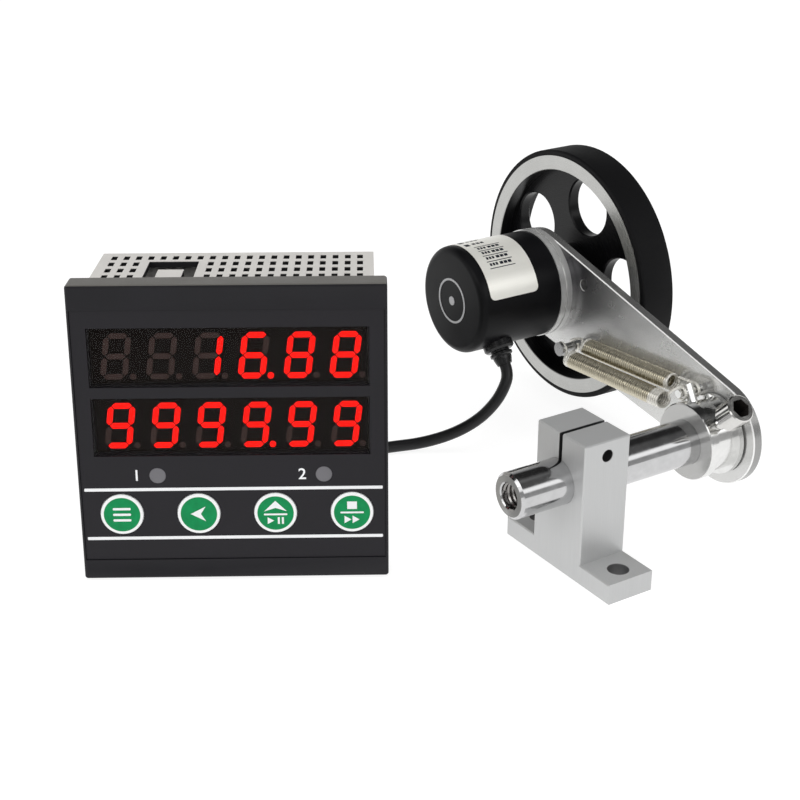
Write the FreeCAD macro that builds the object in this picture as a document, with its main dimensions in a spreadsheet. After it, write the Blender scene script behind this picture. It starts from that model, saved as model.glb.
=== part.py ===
import FreeCAD, Part
import math
import os
from types import SimpleNamespace

import Sketcher
from FreeCAD import Placement, Rotation, Vector

# Cable length counter: a panel counter and, beside it, a sprung arm that carries a
# measuring wheel and its encoder. Millimetres and degrees, +Z up, counter face to -Y.

# Driving sizes, each written once here and kept in the document's sheet

counterSizes = {
    "face_width": 76.0,
    "bezel_depth": 7.0,
    "bezel_side_band": 0.75,
    "bezel_top_band": 6.3,
    "bezel_bottom_band": 5.3,
    "bezel_web": 2.0,
    "bezel_wall": 4.6,
    "bezel_edge_round": 0.8,
    "bezel_lip": 3.0,
    "panel_recess": 0.3,
    "panel_thick": 1.0,
    "panel_gap": 0.1,
    "housing_depth": 35.0,
    "housing_wall": 1.5,
    "housing_gap": 0.1,
    "board_gap": 0.5,
    "rear_cover_thick": 1.5,
    "rear_cover_inset": 0.3,
    "window_thick": 0.8,
    "window_set_back": 0.1,
    "window_gap": 0.05,
    "window_ledge": 0.3,
    "window_side": 4.4,
    "window_top_margin": 4.4,
    "window_between": 2.9,
    "window_low": 32.8,
    "module_set_back": 0.7,
    "module_gap": 0.2,
    "digit_count": 6,
    "digit_shift": 0.4,
    "digit_side": 0.1,
    "digit_apart": 4.4,
    "digit_margin": 1.6,
    "digit_stroke": 1.35,
    "digit_slant": 8.0,
    "segment_gap": 0.25,
    "segment_thick": 0.3,
    "point_diameter": 1.5,
    "board_depth": 8.0,
    "board_thick": 1.6,
    "alarm_diameter": 3.8,
    "alarm_gap": 0.15,
    "alarm_shift": 1.85,
    "alarm_up": 27.6,
    "alarm_side": 17.65,
    "key_count": 4,
    "key_side": 9.65,
    "key_shift": 0.65,
    "key_up": 17.5,
    "key_diameter": 10.5,
    "key_gap": 0.2,
    "key_proud": 0.1,
    "key_rim": 0.6,
    "key_bevel": 0.2,
    "key_flange_thick": 0.4,
    "key_flange_play": 0.1,
    "key_travel": 0.4,
    "key_stem_diameter": 3.3,
    "key_stem_gap": 0.15,
    "key_stem_entry": 1.0,
    "switch_width": 6.0,
    "switch_height": 3.4,
    "vent_columns": 21,
    "vent_rows": 5,
    "vent_width": 1.5,
    "vent_length": 3.7,
    "vent_first_row": 5.6,
    "vent_last_row": 5.0,
    "vent_side": 1.25,
    "latch_first_column": 3,
    "latch_columns": 5,
    "latch_back": 5.0,
    "latch_front": 5.8,
    "latch_side": 3.1,
    "latch_tab_short": 8.0,
    "main_board_up": 15.0,
    "main_board_clear": 0.5,
    "main_board_side": 3.5,
    "transformer_height": 22.0,
    "transformer_edge": 2.0,
    "transformer_clear": 2.3,
    "transformer_coil_inset": 4.5,
    "transformer_coil_proud": 3.0,
    "relay_width": 10.0,
    "relay_height": 15.5,
    "relay_count": 2,
    "relay_apart": 1.5,
    "relay_clear": 5.3,
    "relay_pitch": 12.5,
    "capacitor_diameter": 6.3,
    "capacitor_height": 11.0,
    "capacitor_count": 3,
    "capacitor_edge": 0.85,
    "header_pins": 8,
    "header_gap": 3.64,
    "header_pitch": 2.54,
    "header_pin": 0.64,
    "header_reach": 4.0,
    "terminal_count": 10,
    "terminal_side": 2.4,
    "terminal_height": 10.0,
    "terminal_depth": 8.0,
    "terminal_end_wall": 1.0,
    "terminal_low_up": 15.0,
    "terminal_drop": 18.0,
    "terminal_step": 3.4,
    "terminal_entry": 3.2,
    "terminal_entry_depth": 4.0,
    "terminal_screw_diameter": 3.6,
    "terminal_screw_gap": 0.15,
    "terminal_screw_height": 2.0,
    "terminal_screw_sunk": 0.4,
    "screw_slot": 0.6,
    "counter_turn": 1.3,
}
bracketSizes = {
    "block_width": 42.0,
    "block_thick": 14.0,
    "block_above": 13.0,
    "block_foot": 5.5,
    "block_neck": 19.0,
    "block_hole_spacing": 32.0,
    "block_hole_diameter": 5.5,
    "block_slot": 1.2,
    "block_chamfer": 0.3,
    "clamp_above": 9.0,
    "clamp_tap_diameter": 3.3,
    "clamp_shank_diameter": 3.2,
    "clamp_clear_diameter": 4.5,
    "clamp_head_diameter": 7.0,
    "clamp_head_height": 4.0,
    "clamp_head_gap": 0.3,
    "clamp_tip_short": 3.0,
    "socket_across": 3.0,
    "socket_depth": 2.2,
    "shaft_up": 25.0,
    "shaft_diameter": 12.0,
    "shaft_front": 22.5,
    "shaft_chamfer": 0.7,
    "shaft_tap_diameter": 6.7,
    "shaft_tap_depth": 16.0,
    "bore_gap": 0.02,
    "hub_plate_gap": 0.5,
    "hub_lip_diameter": 20.6,
    "hub_lip_thick": 2.6,
    "hub_diameter": 18.8,
    "hub_body_length": 6.4,
    "hub_collar_diameter": 21.6,
    "hub_collar_thick": 1.4,
    "journal_diameter": 16.0,
    "journal_rest": 0.2,
    "lock_screw_angle": 135.0,
    "lock_screw_inset": 2.6,
    "lock_thread_diameter": 3.3,
    "lock_thread_gap": 0.05,
    "lock_thread_depth": 0.2,
    "lock_neck": 3.5,
    "lock_head_length": 6.4,
    "lock_head_diameter": 7.5,
    "lock_socket_across": 4.5,
    "lock_socket_depth": 5.0,
    "lock_ring_count": 6,
    "anchor_angle": 58.5,
    "anchor_inset": 3.5,
    "anchor_stud_past": 1.8,
    "anchor_stud_diameter": 3.0,
    "anchor_pin_diameter": 2.2,
    "anchor_pin_clear": 1.0,
    "anchor_pin_lead": 0.3,
    "anchor_pin_length": 7.8,
    "arm_angle": 12.9,
    "arm_length": 80.5,
    "arm_start": 45.0,
    "arm_thick": 3.0,
    "arm_edge_inset": 0.3,
    "arm_small_radius": 14.0,
    "arm_lower_offset": 9.5,
    "arm_chamfer": 0.3,
    "spare_hole_back": 19.1,
    "spare_hole_up": 9.5,
    "spare_hole_diameter": 3.4,
    "bush_wall": 1.5,
    "bush_gap": 0.05,
    "bush_flange_wall": 2.6,
    "bush_flange_thick": 0.35,
    "retainer_gap": 0.15,
    "retainer_wall": 4.0,
    "retainer_thick": 0.8,
    "ring_gap": 0.1,
    "ring_thick": 1.0,
    "ring_groove_depth": 0.5,
    "ring_wall": 1.8,
    "ring_opening": 5.0,
    "post_back": 23.7,
    "post_drop": 7.5,
    "post_diameter": 2.4,
    "post_gap": 0.05,
    "post_reach": 8.6,
    "post_head_diameter": 4.0,
    "post_head_height": 1.0,
    "post_nut_across": 5.5,
    "post_nut_height": 2.0,
    "part_gap": 0.05,
}
encoderSizes = {
    "encoder_diameter": 31.2,
    "encoder_length": 31.2,
    "encoder_wall": 1.5,
    "encoder_cap": 2.0,
    "encoder_cap_round": 2.2,
    "flange_lip": 0.3,
    "flange_thick": 3.8,
    "flange_groove": 0.6,
    "flange_groove_depth": 0.5,
    "spigot_gap": 0.1,
    "spigot_length": 3.2,
    "bearing_tube_diameter": 18.0,
    "boss_length": 2.5,
    "boss_clear": 0.2,
    "boss_gap": 0.05,
    "tube_bore": 10.0,
    "bearing_outer": 13.0,
    "bearing_width": 5.0,
    "bearing_gap": 0.02,
    "outer_race_wall": 1.2,
    "inner_race_wall": 1.0,
    "ball_count": 7,
    "ball_diameter": 1.2,
    "shield_thick": 0.4,
    "shield_gap": 0.1,
    "encoder_shaft_diameter": 6.0,
    "encoder_shaft_tail": 0.8,
    "disc_thick": 0.4,
    "disc_gap": 2.1,
    "disc_hub_gap": 1.0,
    "disc_hub_diameter": 10.0,
    "disc_hub_length": 3.0,
    "disc_slits": 36,
    "disc_slit_width": 0.5,
    "disc_slit_length": 2.4,
    "disc_slit_inset": 2.2,
    "encoder_board_thick": 1.4,
    "encoder_board_gap": 0.3,
    "encoder_board_inset": 4.4,
    "encoder_board_bore": 6.0,
    "reader_width": 8.0,
    "reader_length": 5.0,
    "reader_height": 2.2,
    "reader_gap": 0.6,
    "mark_ring_diameter": 13.2,
    "mark_ring_width": 0.6,
    "mark_dot_diameter": 2.6,
    "mark_proud": 0.12,
    "label_thick": 0.1,
    "label_inset": 3.0,
    "label_rear_gap": 7.9,
    "label_gap": 0.02,
    "label_low_angle": 15.0,
    "label_sweep": 118.0,
    "face_screw_count": 3,
    "face_screw_inset": 3.1,
    "face_screw_diameter": 2.8,
    "face_screw_gap": 0.1,
    "face_screw_head": 4.6,
    "face_screw_depth": 2.0,
    "face_screw_angle": 30.0,
    "boot_angle": 232.0,
    "boot_inset": 9.6,
    "boot_plug_reach": 3.0,
    "boot_inner_diameter": 5.6,
    "boot_hole_gap": 0.1,
    "boot_collar_diameter": 8.8,
    "boot_collar_length": 1.9,
    "boot_collar_bevel": 0.6,
    "boot_waist_diameter": 5.4,
    "boot_bead_diameter": 6.6,
    "boot_bead_length": 1.4,
    "boot_bead_bevel": 0.35,
    "boot_waist_length": 0.5,
    "boot_neck_length": 1.9,
    "boot_end_diameter": 4.3,
    "boot_seat_gap": 0.02,
    "wheel_width": 11.3,
    "wheel_gap": 5.2,
    "wheel_diameter": 75.0,
    "tyre_wall": 1.6,
    "rim_wall": 4.3,
    "tyre_gap": 0.05,
    "tyre_inset": 0.15,
    "tyre_edge_round": 0.7,
    "web_thick": 3.8,
    "web_recess": 4.7,
    "web_hole_count": 5,
    "web_hole_rim_gap": 0.95,
    "web_hole_boss_gap": 4.65,
    "web_hole_angle": 30.5,
    "web_hole_bevel": 0.4,
    "wheel_bevel": 0.3,
    "wheel_boss_diameter": 18.0,
    "wheel_boss_proud": 3.8,
    "wheel_screw_diameter": 3.2,
    "wheel_screw_gap": 0.05,
    "wheel_screw_inset": 4.0,
    "wheel_screw_sunk": 0.5,
}
softSizes = {
    "spring_outer": 4.4,
    "spring_wire": 0.5,
    "spring_curls": 40,
    "front_spring_inset": 1.6,
    "rear_spring_inset": 5.9,
    "front_spring_post_x": -4.4,
    "front_spring_post_y": -1.7,
    "front_spring_pin_x": 5.22,
    "front_spring_pin_y": -6.76,
    "rear_spring_post_x": -5.0,
    "rear_spring_post_y": 2.8,
    "rear_spring_pin_x": 7.82,
    "rear_spring_pin_y": -2.96,
    "hook_radius": 1.75,
    "hook_run": 1.2,
    "hook_turn": 285.0,
    "lead_diameter": 3.4,
    "lead_lift": 0.05,
    "coil_centre_x": -57.5,
    "coil_centre_y": 24.8,
    "coil_outer_radius": 25.5,
    "coil_turn_pitch": 4.0,
    "coil_layer_pitch": 4.0,
    "coil_layer_turns": 3.125,
    "core_count": 5,
    "core_diameter": 1.1,
    "core_ring_radius": 0.95,
    "core_straight": 3.0,
    "lead_terminal": 7,
    "lead_end_gap": 11.0,
    "lead_exit_run": 3.0,
}
placeSizes = {
    "counter_x": -47.95,
    "counter_y": -64.7,
    "bracket_x": 38.15,
    "bracket_y": -55.4,
    "bracket_turn": 32.4,
    "cut_overrun": 1.0,
}


class Size(float):
    # A number that remembers the sheet expression it was worked out from

    def __new__(cls, value, text):
        made = float.__new__(cls, value)
        made.text = text
        return made

    def __add__(self, other):
        return Size(float(self) + float(other), f"({self.text} + {wordsOf(other)})")

    def __radd__(self, other):
        return Size(float(other) + float(self), f"({wordsOf(other)} + {self.text})")

    def __sub__(self, other):
        return Size(float(self) - float(other), f"({self.text} - {wordsOf(other)})")

    def __rsub__(self, other):
        return Size(float(other) - float(self), f"({wordsOf(other)} - {self.text})")

    def __mul__(self, other):
        return Size(float(self) * float(other), f"({self.text} * {wordsOf(other)})")

    def __rmul__(self, other):
        return Size(float(other) * float(self), f"({wordsOf(other)} * {self.text})")

    def __truediv__(self, other):
        return Size(float(self) / float(other), f"({self.text} / {wordsOf(other)})")

    def __neg__(self):
        return Size(-float(self), f"(-{self.text})")


def wordsOf(value):
    return value.text if isinstance(value, Size) else repr(float(value))


document = FreeCAD.newDocument("CableLengthCounter")
sheet = document.addObject("Spreadsheet::Sheet", "Sizes")


def fillSheet():
    values = {}
    row = 1
    for group in (counterSizes, bracketSizes, encoderSizes, softSizes, placeSizes):
        for name, value in group.items():
            sheet.set(f"A{row}", name)
            sheet.set(f"B{row}", str(value))
            sheet.setAlias(f"B{row}", name)
            values[name] = Size(value, f"Sizes.{name}")
            row += 1
    document.recompute()
    return SimpleNamespace(**values)


size = fillSheet()
nodes = []
closeTo = 1e-4
sides = (-1, 1)

# Sizes that follow others: the counter's housing and face

size.housing_width = size.face_width - 2 * size.bezel_lip
innerWidth = size.housing_width - 2 * size.housing_wall
size.board_width = innerWidth - 2 * size.board_gap
size.window_width = size.face_width - 2 * size.window_side
aboveWindows = size.bezel_top_band + size.window_top_margin
size.window_height = (size.face_width - aboveWindows - size.window_between - size.window_low) / 2
size.lower_window_up = size.window_low + size.window_height / 2
size.upper_window_up = size.lower_window_up + size.window_height + size.window_between
digitRoom = size.window_width - 2 * (size.window_ledge + size.module_gap + size.digit_side)
size.digit_pitch = digitRoom / size.digit_count
size.digit_width = size.digit_pitch - size.digit_apart
size.digit_height = size.window_height - 2 * size.digit_margin
size.alarm_spacing = size.face_width - 2 * size.alarm_side
size.key_pitch = (size.face_width - 2 * size.key_side) / (size.key_count - 1)
size.vent_column_pitch = (innerWidth - 2 * size.vent_side - size.vent_width) / (size.vent_columns - 1)
size.vent_row_pitch = (size.housing_depth - size.vent_first_row - size.vent_last_row) / (size.vent_rows - 1)
size.latch_width = (size.latch_columns - 1) * size.vent_column_pitch
size.latch_length = size.housing_depth - size.latch_back - size.vent_length - size.latch_front
size.latch_tab_width = size.latch_width - 2 * size.latch_side
size.latch_tab_length = size.latch_length - size.latch_tab_short

# The terminals, and what stands side by side on the main board

terminalRoom = innerWidth - 2 * (size.housing_gap + size.terminal_side + size.terminal_end_wall)
size.terminal_pitch = terminalRoom / size.terminal_count
size.terminal_high_up = size.face_width - size.bezel_lip - size.terminal_drop
size.main_board_width = innerWidth - 2 * size.main_board_side
relaySpan = size.relay_width + (size.relay_count - 1) * size.relay_pitch
capacitorSpan = size.capacitor_diameter + 2 * size.capacitor_edge
transformerRoom = size.main_board_width - size.transformer_edge - size.relay_apart
size.transformer_width = transformerRoom - relaySpan - capacitorSpan
size.transformer_coil_width = size.transformer_width - 2 * size.transformer_coil_inset
size.transformer_side = size.main_board_width / 2 - size.transformer_edge - size.transformer_width / 2
relayStart = size.transformer_edge + size.transformer_width + size.relay_apart
size.relay_side = relayStart + size.relay_width / 2 - size.main_board_width / 2
size.capacitor_side = (size.main_board_width - capacitorSpan) / 2
headerSpan = (size.header_pins - 1) * size.header_pitch + size.header_pin
size.header_side = size.capacitor_side - size.capacitor_diameter / 2 - size.header_gap - headerSpan / 2
frontDepth = size.board_depth + size.board_thick + size.main_board_clear
coverDepth = size.bezel_depth + size.housing_depth - size.rear_cover_inset - size.rear_cover_thick
mainLength = coverDepth - size.main_board_clear - frontDepth
size.transformer_depth = mainLength - 2 * (size.transformer_coil_proud + size.transformer_clear)
size.relay_depth = mainLength - 2 * size.relay_clear
size.capacitor_pitch = (mainLength - capacitorSpan) / (size.capacitor_count - 1)

# The bracket: heights above the shaft, and places along the shaft from the arm back

size.block_height = size.shaft_up + size.block_above
size.clamp_screw_up = size.shaft_up + size.clamp_above
hubBodyEnd = size.arm_start - size.hub_plate_gap - size.hub_collar_thick
size.hub_start = hubBodyEnd - size.hub_body_length - size.hub_lip_thick
hubBodyStart = size.hub_start + size.hub_lip_thick
size.lock_screw_along = hubBodyStart + size.lock_screw_inset
size.lock_head_start = size.hub_diameter / 2 + size.lock_neck
size.anchor_along = hubBodyStart + size.anchor_inset
size.anchor_pin_start = hubBodyStart - size.anchor_pin_lead
size.anchor_pin_radius = size.hub_lip_diameter / 2 + size.anchor_pin_clear + size.anchor_pin_diameter / 2
size.anchor_reach = size.anchor_pin_radius + size.anchor_stud_past
size.post_along = size.arm_length - size.post_back
size.spare_hole_along = size.arm_length - size.spare_hole_back
size.front_spring_along = size.anchor_pin_start + size.front_spring_inset
size.rear_spring_along = size.anchor_pin_start + size.rear_spring_inset

# The encoder, from its cap forwards, and the wheel, from the arm outwards

size.flange_diameter = size.encoder_diameter + 2 * size.flange_lip
size.arm_big_radius = size.flange_diameter / 2 - size.arm_edge_inset
size.face_screw_circle = size.encoder_diameter - 2 * size.face_screw_inset
size.boss_diameter = size.face_screw_circle - size.face_screw_head - 2 * size.boss_clear
size.encoder_front = size.arm_start - size.encoder_length
size.encoder_board_start = size.encoder_front + size.encoder_board_inset
readerStart = size.encoder_board_start + size.encoder_board_thick
size.disc_start = readerStart + size.reader_height + size.reader_gap
size.encoder_shaft_start = size.disc_start - size.encoder_shaft_tail
size.bearing_tube_start = size.disc_start + size.disc_thick + size.disc_hub_length + size.disc_hub_gap
shellBore = size.encoder_diameter - 2 * size.encoder_wall
size.encoder_board_diameter = shellBore - 2 * size.encoder_board_gap
size.disc_diameter = shellBore - 2 * size.disc_gap
size.disc_slit_radius = size.disc_diameter / 2 - size.disc_slit_inset
size.label_start = size.encoder_front + size.label_inset
labelRoom = size.encoder_length - size.flange_thick - size.label_inset
size.label_length = labelRoom - size.label_rear_gap
size.boot_along = size.encoder_front + size.boot_inset
size.boot_inner = size.encoder_diameter / 2 - size.boot_plug_reach
size.wheel_start = size.arm_start + size.arm_thick + size.wheel_gap
size.wheel_boss_start = size.wheel_start - size.wheel_boss_proud
size.wheel_screw_along = size.wheel_boss_start + size.wheel_screw_inset
size.rim_inner_diameter = size.wheel_diameter - 2 * (size.tyre_wall + size.rim_wall)
webRoom = (size.rim_inner_diameter - size.wheel_boss_diameter) / 2
size.web_hole_diameter = webRoom - size.web_hole_rim_gap - size.web_hole_boss_gap
size.web_hole_circle = size.rim_inner_diameter - 2 * size.web_hole_rim_gap - size.web_hole_diameter


# Sketch and feature helpers

def bind(thing, place, value):
    if isinstance(value, Size):
        thing.setExpression(place, value.text)


def newBody(label, placement):
    body = document.addObject("PartDesign::Body", label)
    body.Label = label
    body.Placement = placement
    nodes.append(body)
    return body


def newSketch(body, name, role="XY_Plane", offset=None):
    sketch = body.newObject("Sketcher::SketchObject", name)
    flat = [f for f in body.Origin.OriginFeatures if f.Role == role][0]
    sketch.AttachmentSupport = [(flat, "")]
    sketch.MapMode = "FlatFace"
    if offset is not None:
        sketch.setExpression("AttachmentOffset.Base.z", offset.text)
    return sketch


def fixPoint(sketch, geometry, end, x, y):
    for axis, line, value in (("DistanceX", -2, x), ("DistanceY", -1, y)):
        if isinstance(value, Size):
            index = sketch.addConstraint(Sketcher.Constraint(axis, -1, 1, geometry, end, float(value)))
            sketch.setExpression(f"Constraints[{index}]", value.text)
        else:
            sketch.addConstraint(Sketcher.Constraint("PointOnObject", geometry, end, line))


def drawOutline(sketch, points):
    first = sketch.GeometryCount
    count = len(points)
    for i, (x, y) in enumerate(points):
        nextX, nextY = points[(i + 1) % count]
        sketch.addGeometry(Part.LineSegment(Vector(x, y, 0), Vector(nextX, nextY, 0)), False)
    for i in range(count):
        following = first + (i + 1) % count
        sketch.addConstraint(Sketcher.Constraint("Coincident", first + i, 2, following, 1))
    for i, (x, y) in enumerate(points):
        fixPoint(sketch, first + i, 1, x, y)


def drawCircle(sketch, x, y, radius):
    ring = sketch.addGeometry(Part.Circle(Vector(x, y, 0), Vector(0, 0, 1), radius), False)
    fixPoint(sketch, ring, 3, x, y)
    index = sketch.addConstraint(Sketcher.Constraint("Radius", ring, float(radius)))
    sketch.setExpression(f"Constraints[{index}]", radius.text)


def drawBox(sketch, x, y, width, height):
    left, right = x - width / 2, x + width / 2
    low, high = y - height / 2, y + height / 2
    drawOutline(sketch, [(left, low), (right, low), (right, high), (left, high)])


def pad(body, sketch, length):
    feature = body.newObject("PartDesign::Pad", sketch.Name + "Pad")
    feature.Profile = sketch
    bind(feature, "Length", length)
    sketch.Visibility = False
    return feature


def cut(body, sketch, depth):
    feature = body.newObject("PartDesign::Pocket", sketch.Name + "Cut")
    feature.Profile = sketch
    bind(feature, "Length", depth)
    sketch.Visibility = False
    return feature


def sideHole(body, name, place, radius, depth):
    # A round hole that starts outside a turned piece and goes in across its axis
    sketch = body.newObject("Sketcher::SketchObject", name)
    sketch.Placement = place
    ring = sketch.addGeometry(Part.Circle(Vector(), Vector(0, 0, 1), radius), False)
    sketch.addConstraint(Sketcher.Constraint("Coincident", ring, 3, -1, 1))
    index = sketch.addConstraint(Sketcher.Constraint("Radius", ring, float(radius)))
    sketch.setExpression(f"Constraints[{index}]", radius.text)
    return cut(body, sketch, depth)


def turned(label, placement, rings):
    # A piece turned on a lathe: its half section as radius and height pairs
    body = newBody(label, placement)
    sketch = newSketch(body, label + "Section", "XZ_Plane")
    drawOutline(sketch, rings)
    feature = body.newObject("PartDesign::Revolution", label + "Turned")
    feature.Profile = sketch
    feature.ReferenceAxis = (sketch, ["V_Axis"])
    feature.Angle = 360
    return body


def slab(label, placement, start, thick, outline, holes=()):
    # A flat piece: a closed outline, its round holes, its start and its thickness
    body = newBody(label, placement)
    sketch = newSketch(body, label + "Outline", "XY_Plane", start)
    drawOutline(sketch, outline)
    for x, y, radius in holes:
        drawCircle(sketch, x, y, radius)
    pad(body, sketch, thick)
    return body


def boxPoints(left, right, low, high):
    return [(left, low), (right, low), (right, high), (left, high)]


def edgesWhere(feature, test):
    return [f"Edge{i + 1}" for i, edge in enumerate(feature.Shape.Edges) if test(edge)]


def dress(body, kind, amount, test):
    # A fillet or chamfer on the edges of the last feature that pass the test
    document.recompute()
    base = body.Tip
    names = edgesWhere(base, test)
    feature = body.newObject("PartDesign::" + kind, body.Name + kind)
    feature.Base = (base, names)
    bind(feature, "Radius" if kind == "Fillet" else "Size", amount)
    base.Visibility = False
    return feature


def polar(body, feature, count):
    pattern = body.newObject("PartDesign::PolarPattern", feature.Name + "Ring")
    pattern.Originals = [feature]
    axis = [f for f in body.Origin.OriginFeatures if f.Role == "Z_Axis"][0]
    pattern.Axis = (axis, [""])
    pattern.Angle = 360
    bind(pattern, "Occurrences", count)
    body.Tip = pattern
    return pattern


def atHeight(edge, height):
    box = edge.BoundBox
    return abs(box.ZMin - height) < closeTo and abs(box.ZMax - height) < closeTo


# Part primitives for small pieces and groups of like pieces

def cylinder(radius, height, placement):
    piece = document.addObject("Part::Cylinder", "Round")
    bind(piece, "Radius", radius)
    bind(piece, "Height", height)
    piece.Placement = placement
    return piece


def box(width, depth, height, placement):
    piece = document.addObject("Part::Box", "Block")
    bind(piece, "Length", width)
    bind(piece, "Width", depth)
    bind(piece, "Height", height)
    piece.Placement = placement
    return piece


def fused(pieces):
    whole = document.addObject("Part::MultiFuse", "Joined")
    whole.Shapes = pieces
    return whole


def less(base, tools):
    result = document.addObject("Part::Cut", "Trimmed")
    result.Base = base
    result.Tool = tools[0] if len(tools) == 1 else fused(tools)
    return result


def group(label, pieces, placement):
    whole = document.addObject("Part::Compound", label)
    whole.Label = label
    whole.Links = pieces
    whole.Placement = placement
    nodes.append(whole)
    return whole


def named(label, piece, placement):
    piece.Label = label
    piece.Placement = placement
    nodes.append(piece)
    return piece


def formed(label, shape, placement=None):
    piece = document.addObject("Part::Feature", label)
    piece.Label = label
    piece.Shape = shape
    if placement is not None:
        piece.Placement = placement
    nodes.append(piece)
    return piece


def shift(x=0.0, y=0.0, z=0.0):
    return Placement(Vector(x, y, z), Rotation())


def radial(angle, along, start):
    # Local +Z points outwards at this angle about the axis, from this radius and height
    turn = Rotation(Vector(0, 0, 1), angle) * Rotation(Vector(0, 1, 0), 90)
    out = turn.multVec(Vector(0, 0, start))
    return Placement(Vector(out.x, out.y, along), turn)


# Frames: the counter's face, the shaft, the arm and the encoder

counterTilt = math.degrees(math.atan2(size.face_width - size.housing_width, 2 * size.housing_depth))
counterLift = size.bezel_depth * math.sin(math.radians(counterTilt))
faceTurn = Rotation(Vector(0, 0, 1), size.counter_turn) * Rotation(Vector(1, 0, 0), 90 - counterTilt)
faceFrame = Placement(Vector(size.counter_x, size.counter_y, counterLift), faceTurn)

axisTurn = Rotation(Vector(1, 1, 1), 120)
shaftTurn = Rotation(Vector(0, 0, 1), size.bracket_turn) * axisTurn
shaftFrame = Placement(Vector(size.bracket_x, size.bracket_y, size.shaft_up), shaftTurn)
armFrame = shaftFrame * Placement(Vector(), Rotation(Vector(0, 0, 1), size.arm_angle))
encoderFrame = armFrame * shift(size.arm_length)


# Counter: bezel, panel, windows and displays

panelWidth = size.face_width - 2 * size.bezel_side_band
panelLow = size.bezel_bottom_band
panelHigh = size.face_width - size.bezel_top_band
panelFront = size.panel_recess
panelBack = size.panel_recess + size.panel_thick
webBack = panelBack + size.bezel_web
keyMiddle = (size.key_count - 1) / 2
keyXs = [(i - keyMiddle) * size.key_pitch + size.key_shift for i in range(int(size.key_count))]
alarmXs = [size.alarm_shift + side * size.alarm_spacing / 2 for side in sides]
windowUps = [size.upper_window_up, size.lower_window_up]
keyFlangeRadius = size.key_diameter / 2 + size.key_rim
keyPocketRadius = keyFlangeRadius + size.key_gap
keyBack = panelBack + size.key_flange_play + size.key_flange_thick
keyPocketDepth = size.key_flange_play + size.key_flange_thick + size.key_travel + size.key_flange_play
stemHole = size.key_stem_diameter / 2 + size.key_stem_gap
alarmHole = size.alarm_diameter / 2 + size.alarm_gap


def bezelFrame():
    half = size.face_width / 2
    body = slab("bezel_frame", faceFrame, -size.bezel_depth, size.bezel_depth,
                boxPoints(-half, half, 0, size.face_width))
    dress(body, "Fillet", size.bezel_edge_round,
          lambda edge: atHeight(edge, 0) or edge.BoundBox.ZLength > size.bezel_depth / 2)
    recess = newSketch(body, "PanelRecess", "XY_Plane", size.cut_overrun)
    drawOutline(recess, boxPoints(-panelWidth / 2 - size.panel_gap, panelWidth / 2 + size.panel_gap,
                                  panelLow - size.panel_gap, panelHigh + size.panel_gap))
    cut(body, recess, panelBack + size.cut_overrun)
    hollow = newSketch(body, "BezelHollow", "XY_Plane", -webBack)
    drawOutline(hollow, boxPoints(-half + size.bezel_wall, half - size.bezel_wall,
                                  size.bezel_wall, size.face_width - size.bezel_wall))
    cut(body, hollow, size.bezel_depth - webBack + size.cut_overrun)
    through = newSketch(body, "WebOpenings", "XY_Plane", size.cut_overrun)
    for up in windowUps:
        drawBox(through, 0, up, size.window_width - 2 * size.window_ledge,
                size.window_height - 2 * size.window_ledge)
    for x in keyXs:
        drawCircle(through, x, size.key_up, stemHole)
    for x in alarmXs:
        drawCircle(through, x, size.alarm_up, alarmHole)
    cut(body, through, webBack + 2 * size.cut_overrun)
    pockets = newSketch(body, "KeyPockets", "XY_Plane", size.cut_overrun)
    for x in keyXs:
        drawCircle(pockets, x, size.key_up, keyPocketRadius)
    cut(body, pockets, panelBack + keyPocketDepth + size.cut_overrun)


def facePanel():
    body = newBody("face_panel", faceFrame)
    sketch = newSketch(body, "PanelOutline", "XY_Plane", -panelBack)
    drawOutline(sketch, boxPoints(-panelWidth / 2, panelWidth / 2, panelLow, panelHigh))
    for up in windowUps:
        drawBox(sketch, 0, up, size.window_width + 2 * size.window_gap,
                size.window_height + 2 * size.window_gap)
    for x in keyXs:
        drawCircle(sketch, x, size.key_up, size.key_diameter / 2 + size.key_gap)
    for x in alarmXs:
        drawCircle(sketch, x, size.alarm_up, alarmHole)
    pad(body, sketch, size.panel_thick)


def windows():
    half = size.window_width / 2
    for label, up in zip(("upper_window", "lower_window"), windowUps):
        front = panelFront + size.window_set_back
        slab(label, faceFrame, -(front + size.window_thick), size.window_thick,
             boxPoints(-half, half, up - size.window_height / 2, up + size.window_height / 2))


moduleFront = panelBack + size.module_set_back


def digitModules():
    half = size.window_width / 2 - size.window_ledge - size.module_gap
    tall = size.window_height / 2 - size.window_ledge - size.module_gap
    for label, up in zip(("upper_digit_module", "lower_digit_module"), windowUps):
        slab(label, faceFrame, -size.board_depth, size.board_depth - moduleFront,
             boxPoints(-half, half, up - tall, up + tall))


# Seven bars of a digit: a to g, each with its centre and direction as shares of the digit

barShares = {
    "a": (0.0, 0.5, True),
    "b": (0.5, 0.25, False),
    "c": (0.5, -0.25, False),
    "d": (0.0, -0.5, True),
    "e": (-0.5, -0.25, False),
    "f": (-0.5, 0.25, False),
    "g": (0.0, 0.0, True),
}
litBars = {"1": "bc", "6": "acdefg", "8": "abcdefg", "9": "abcdfg", " ": ""}
rowTexts = ("  1688", "999999")
litPoints = (3, 3)


def slanted(x, y):
    return Vector(x + y * math.tan(math.radians(size.digit_slant)), y, 0)


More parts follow.
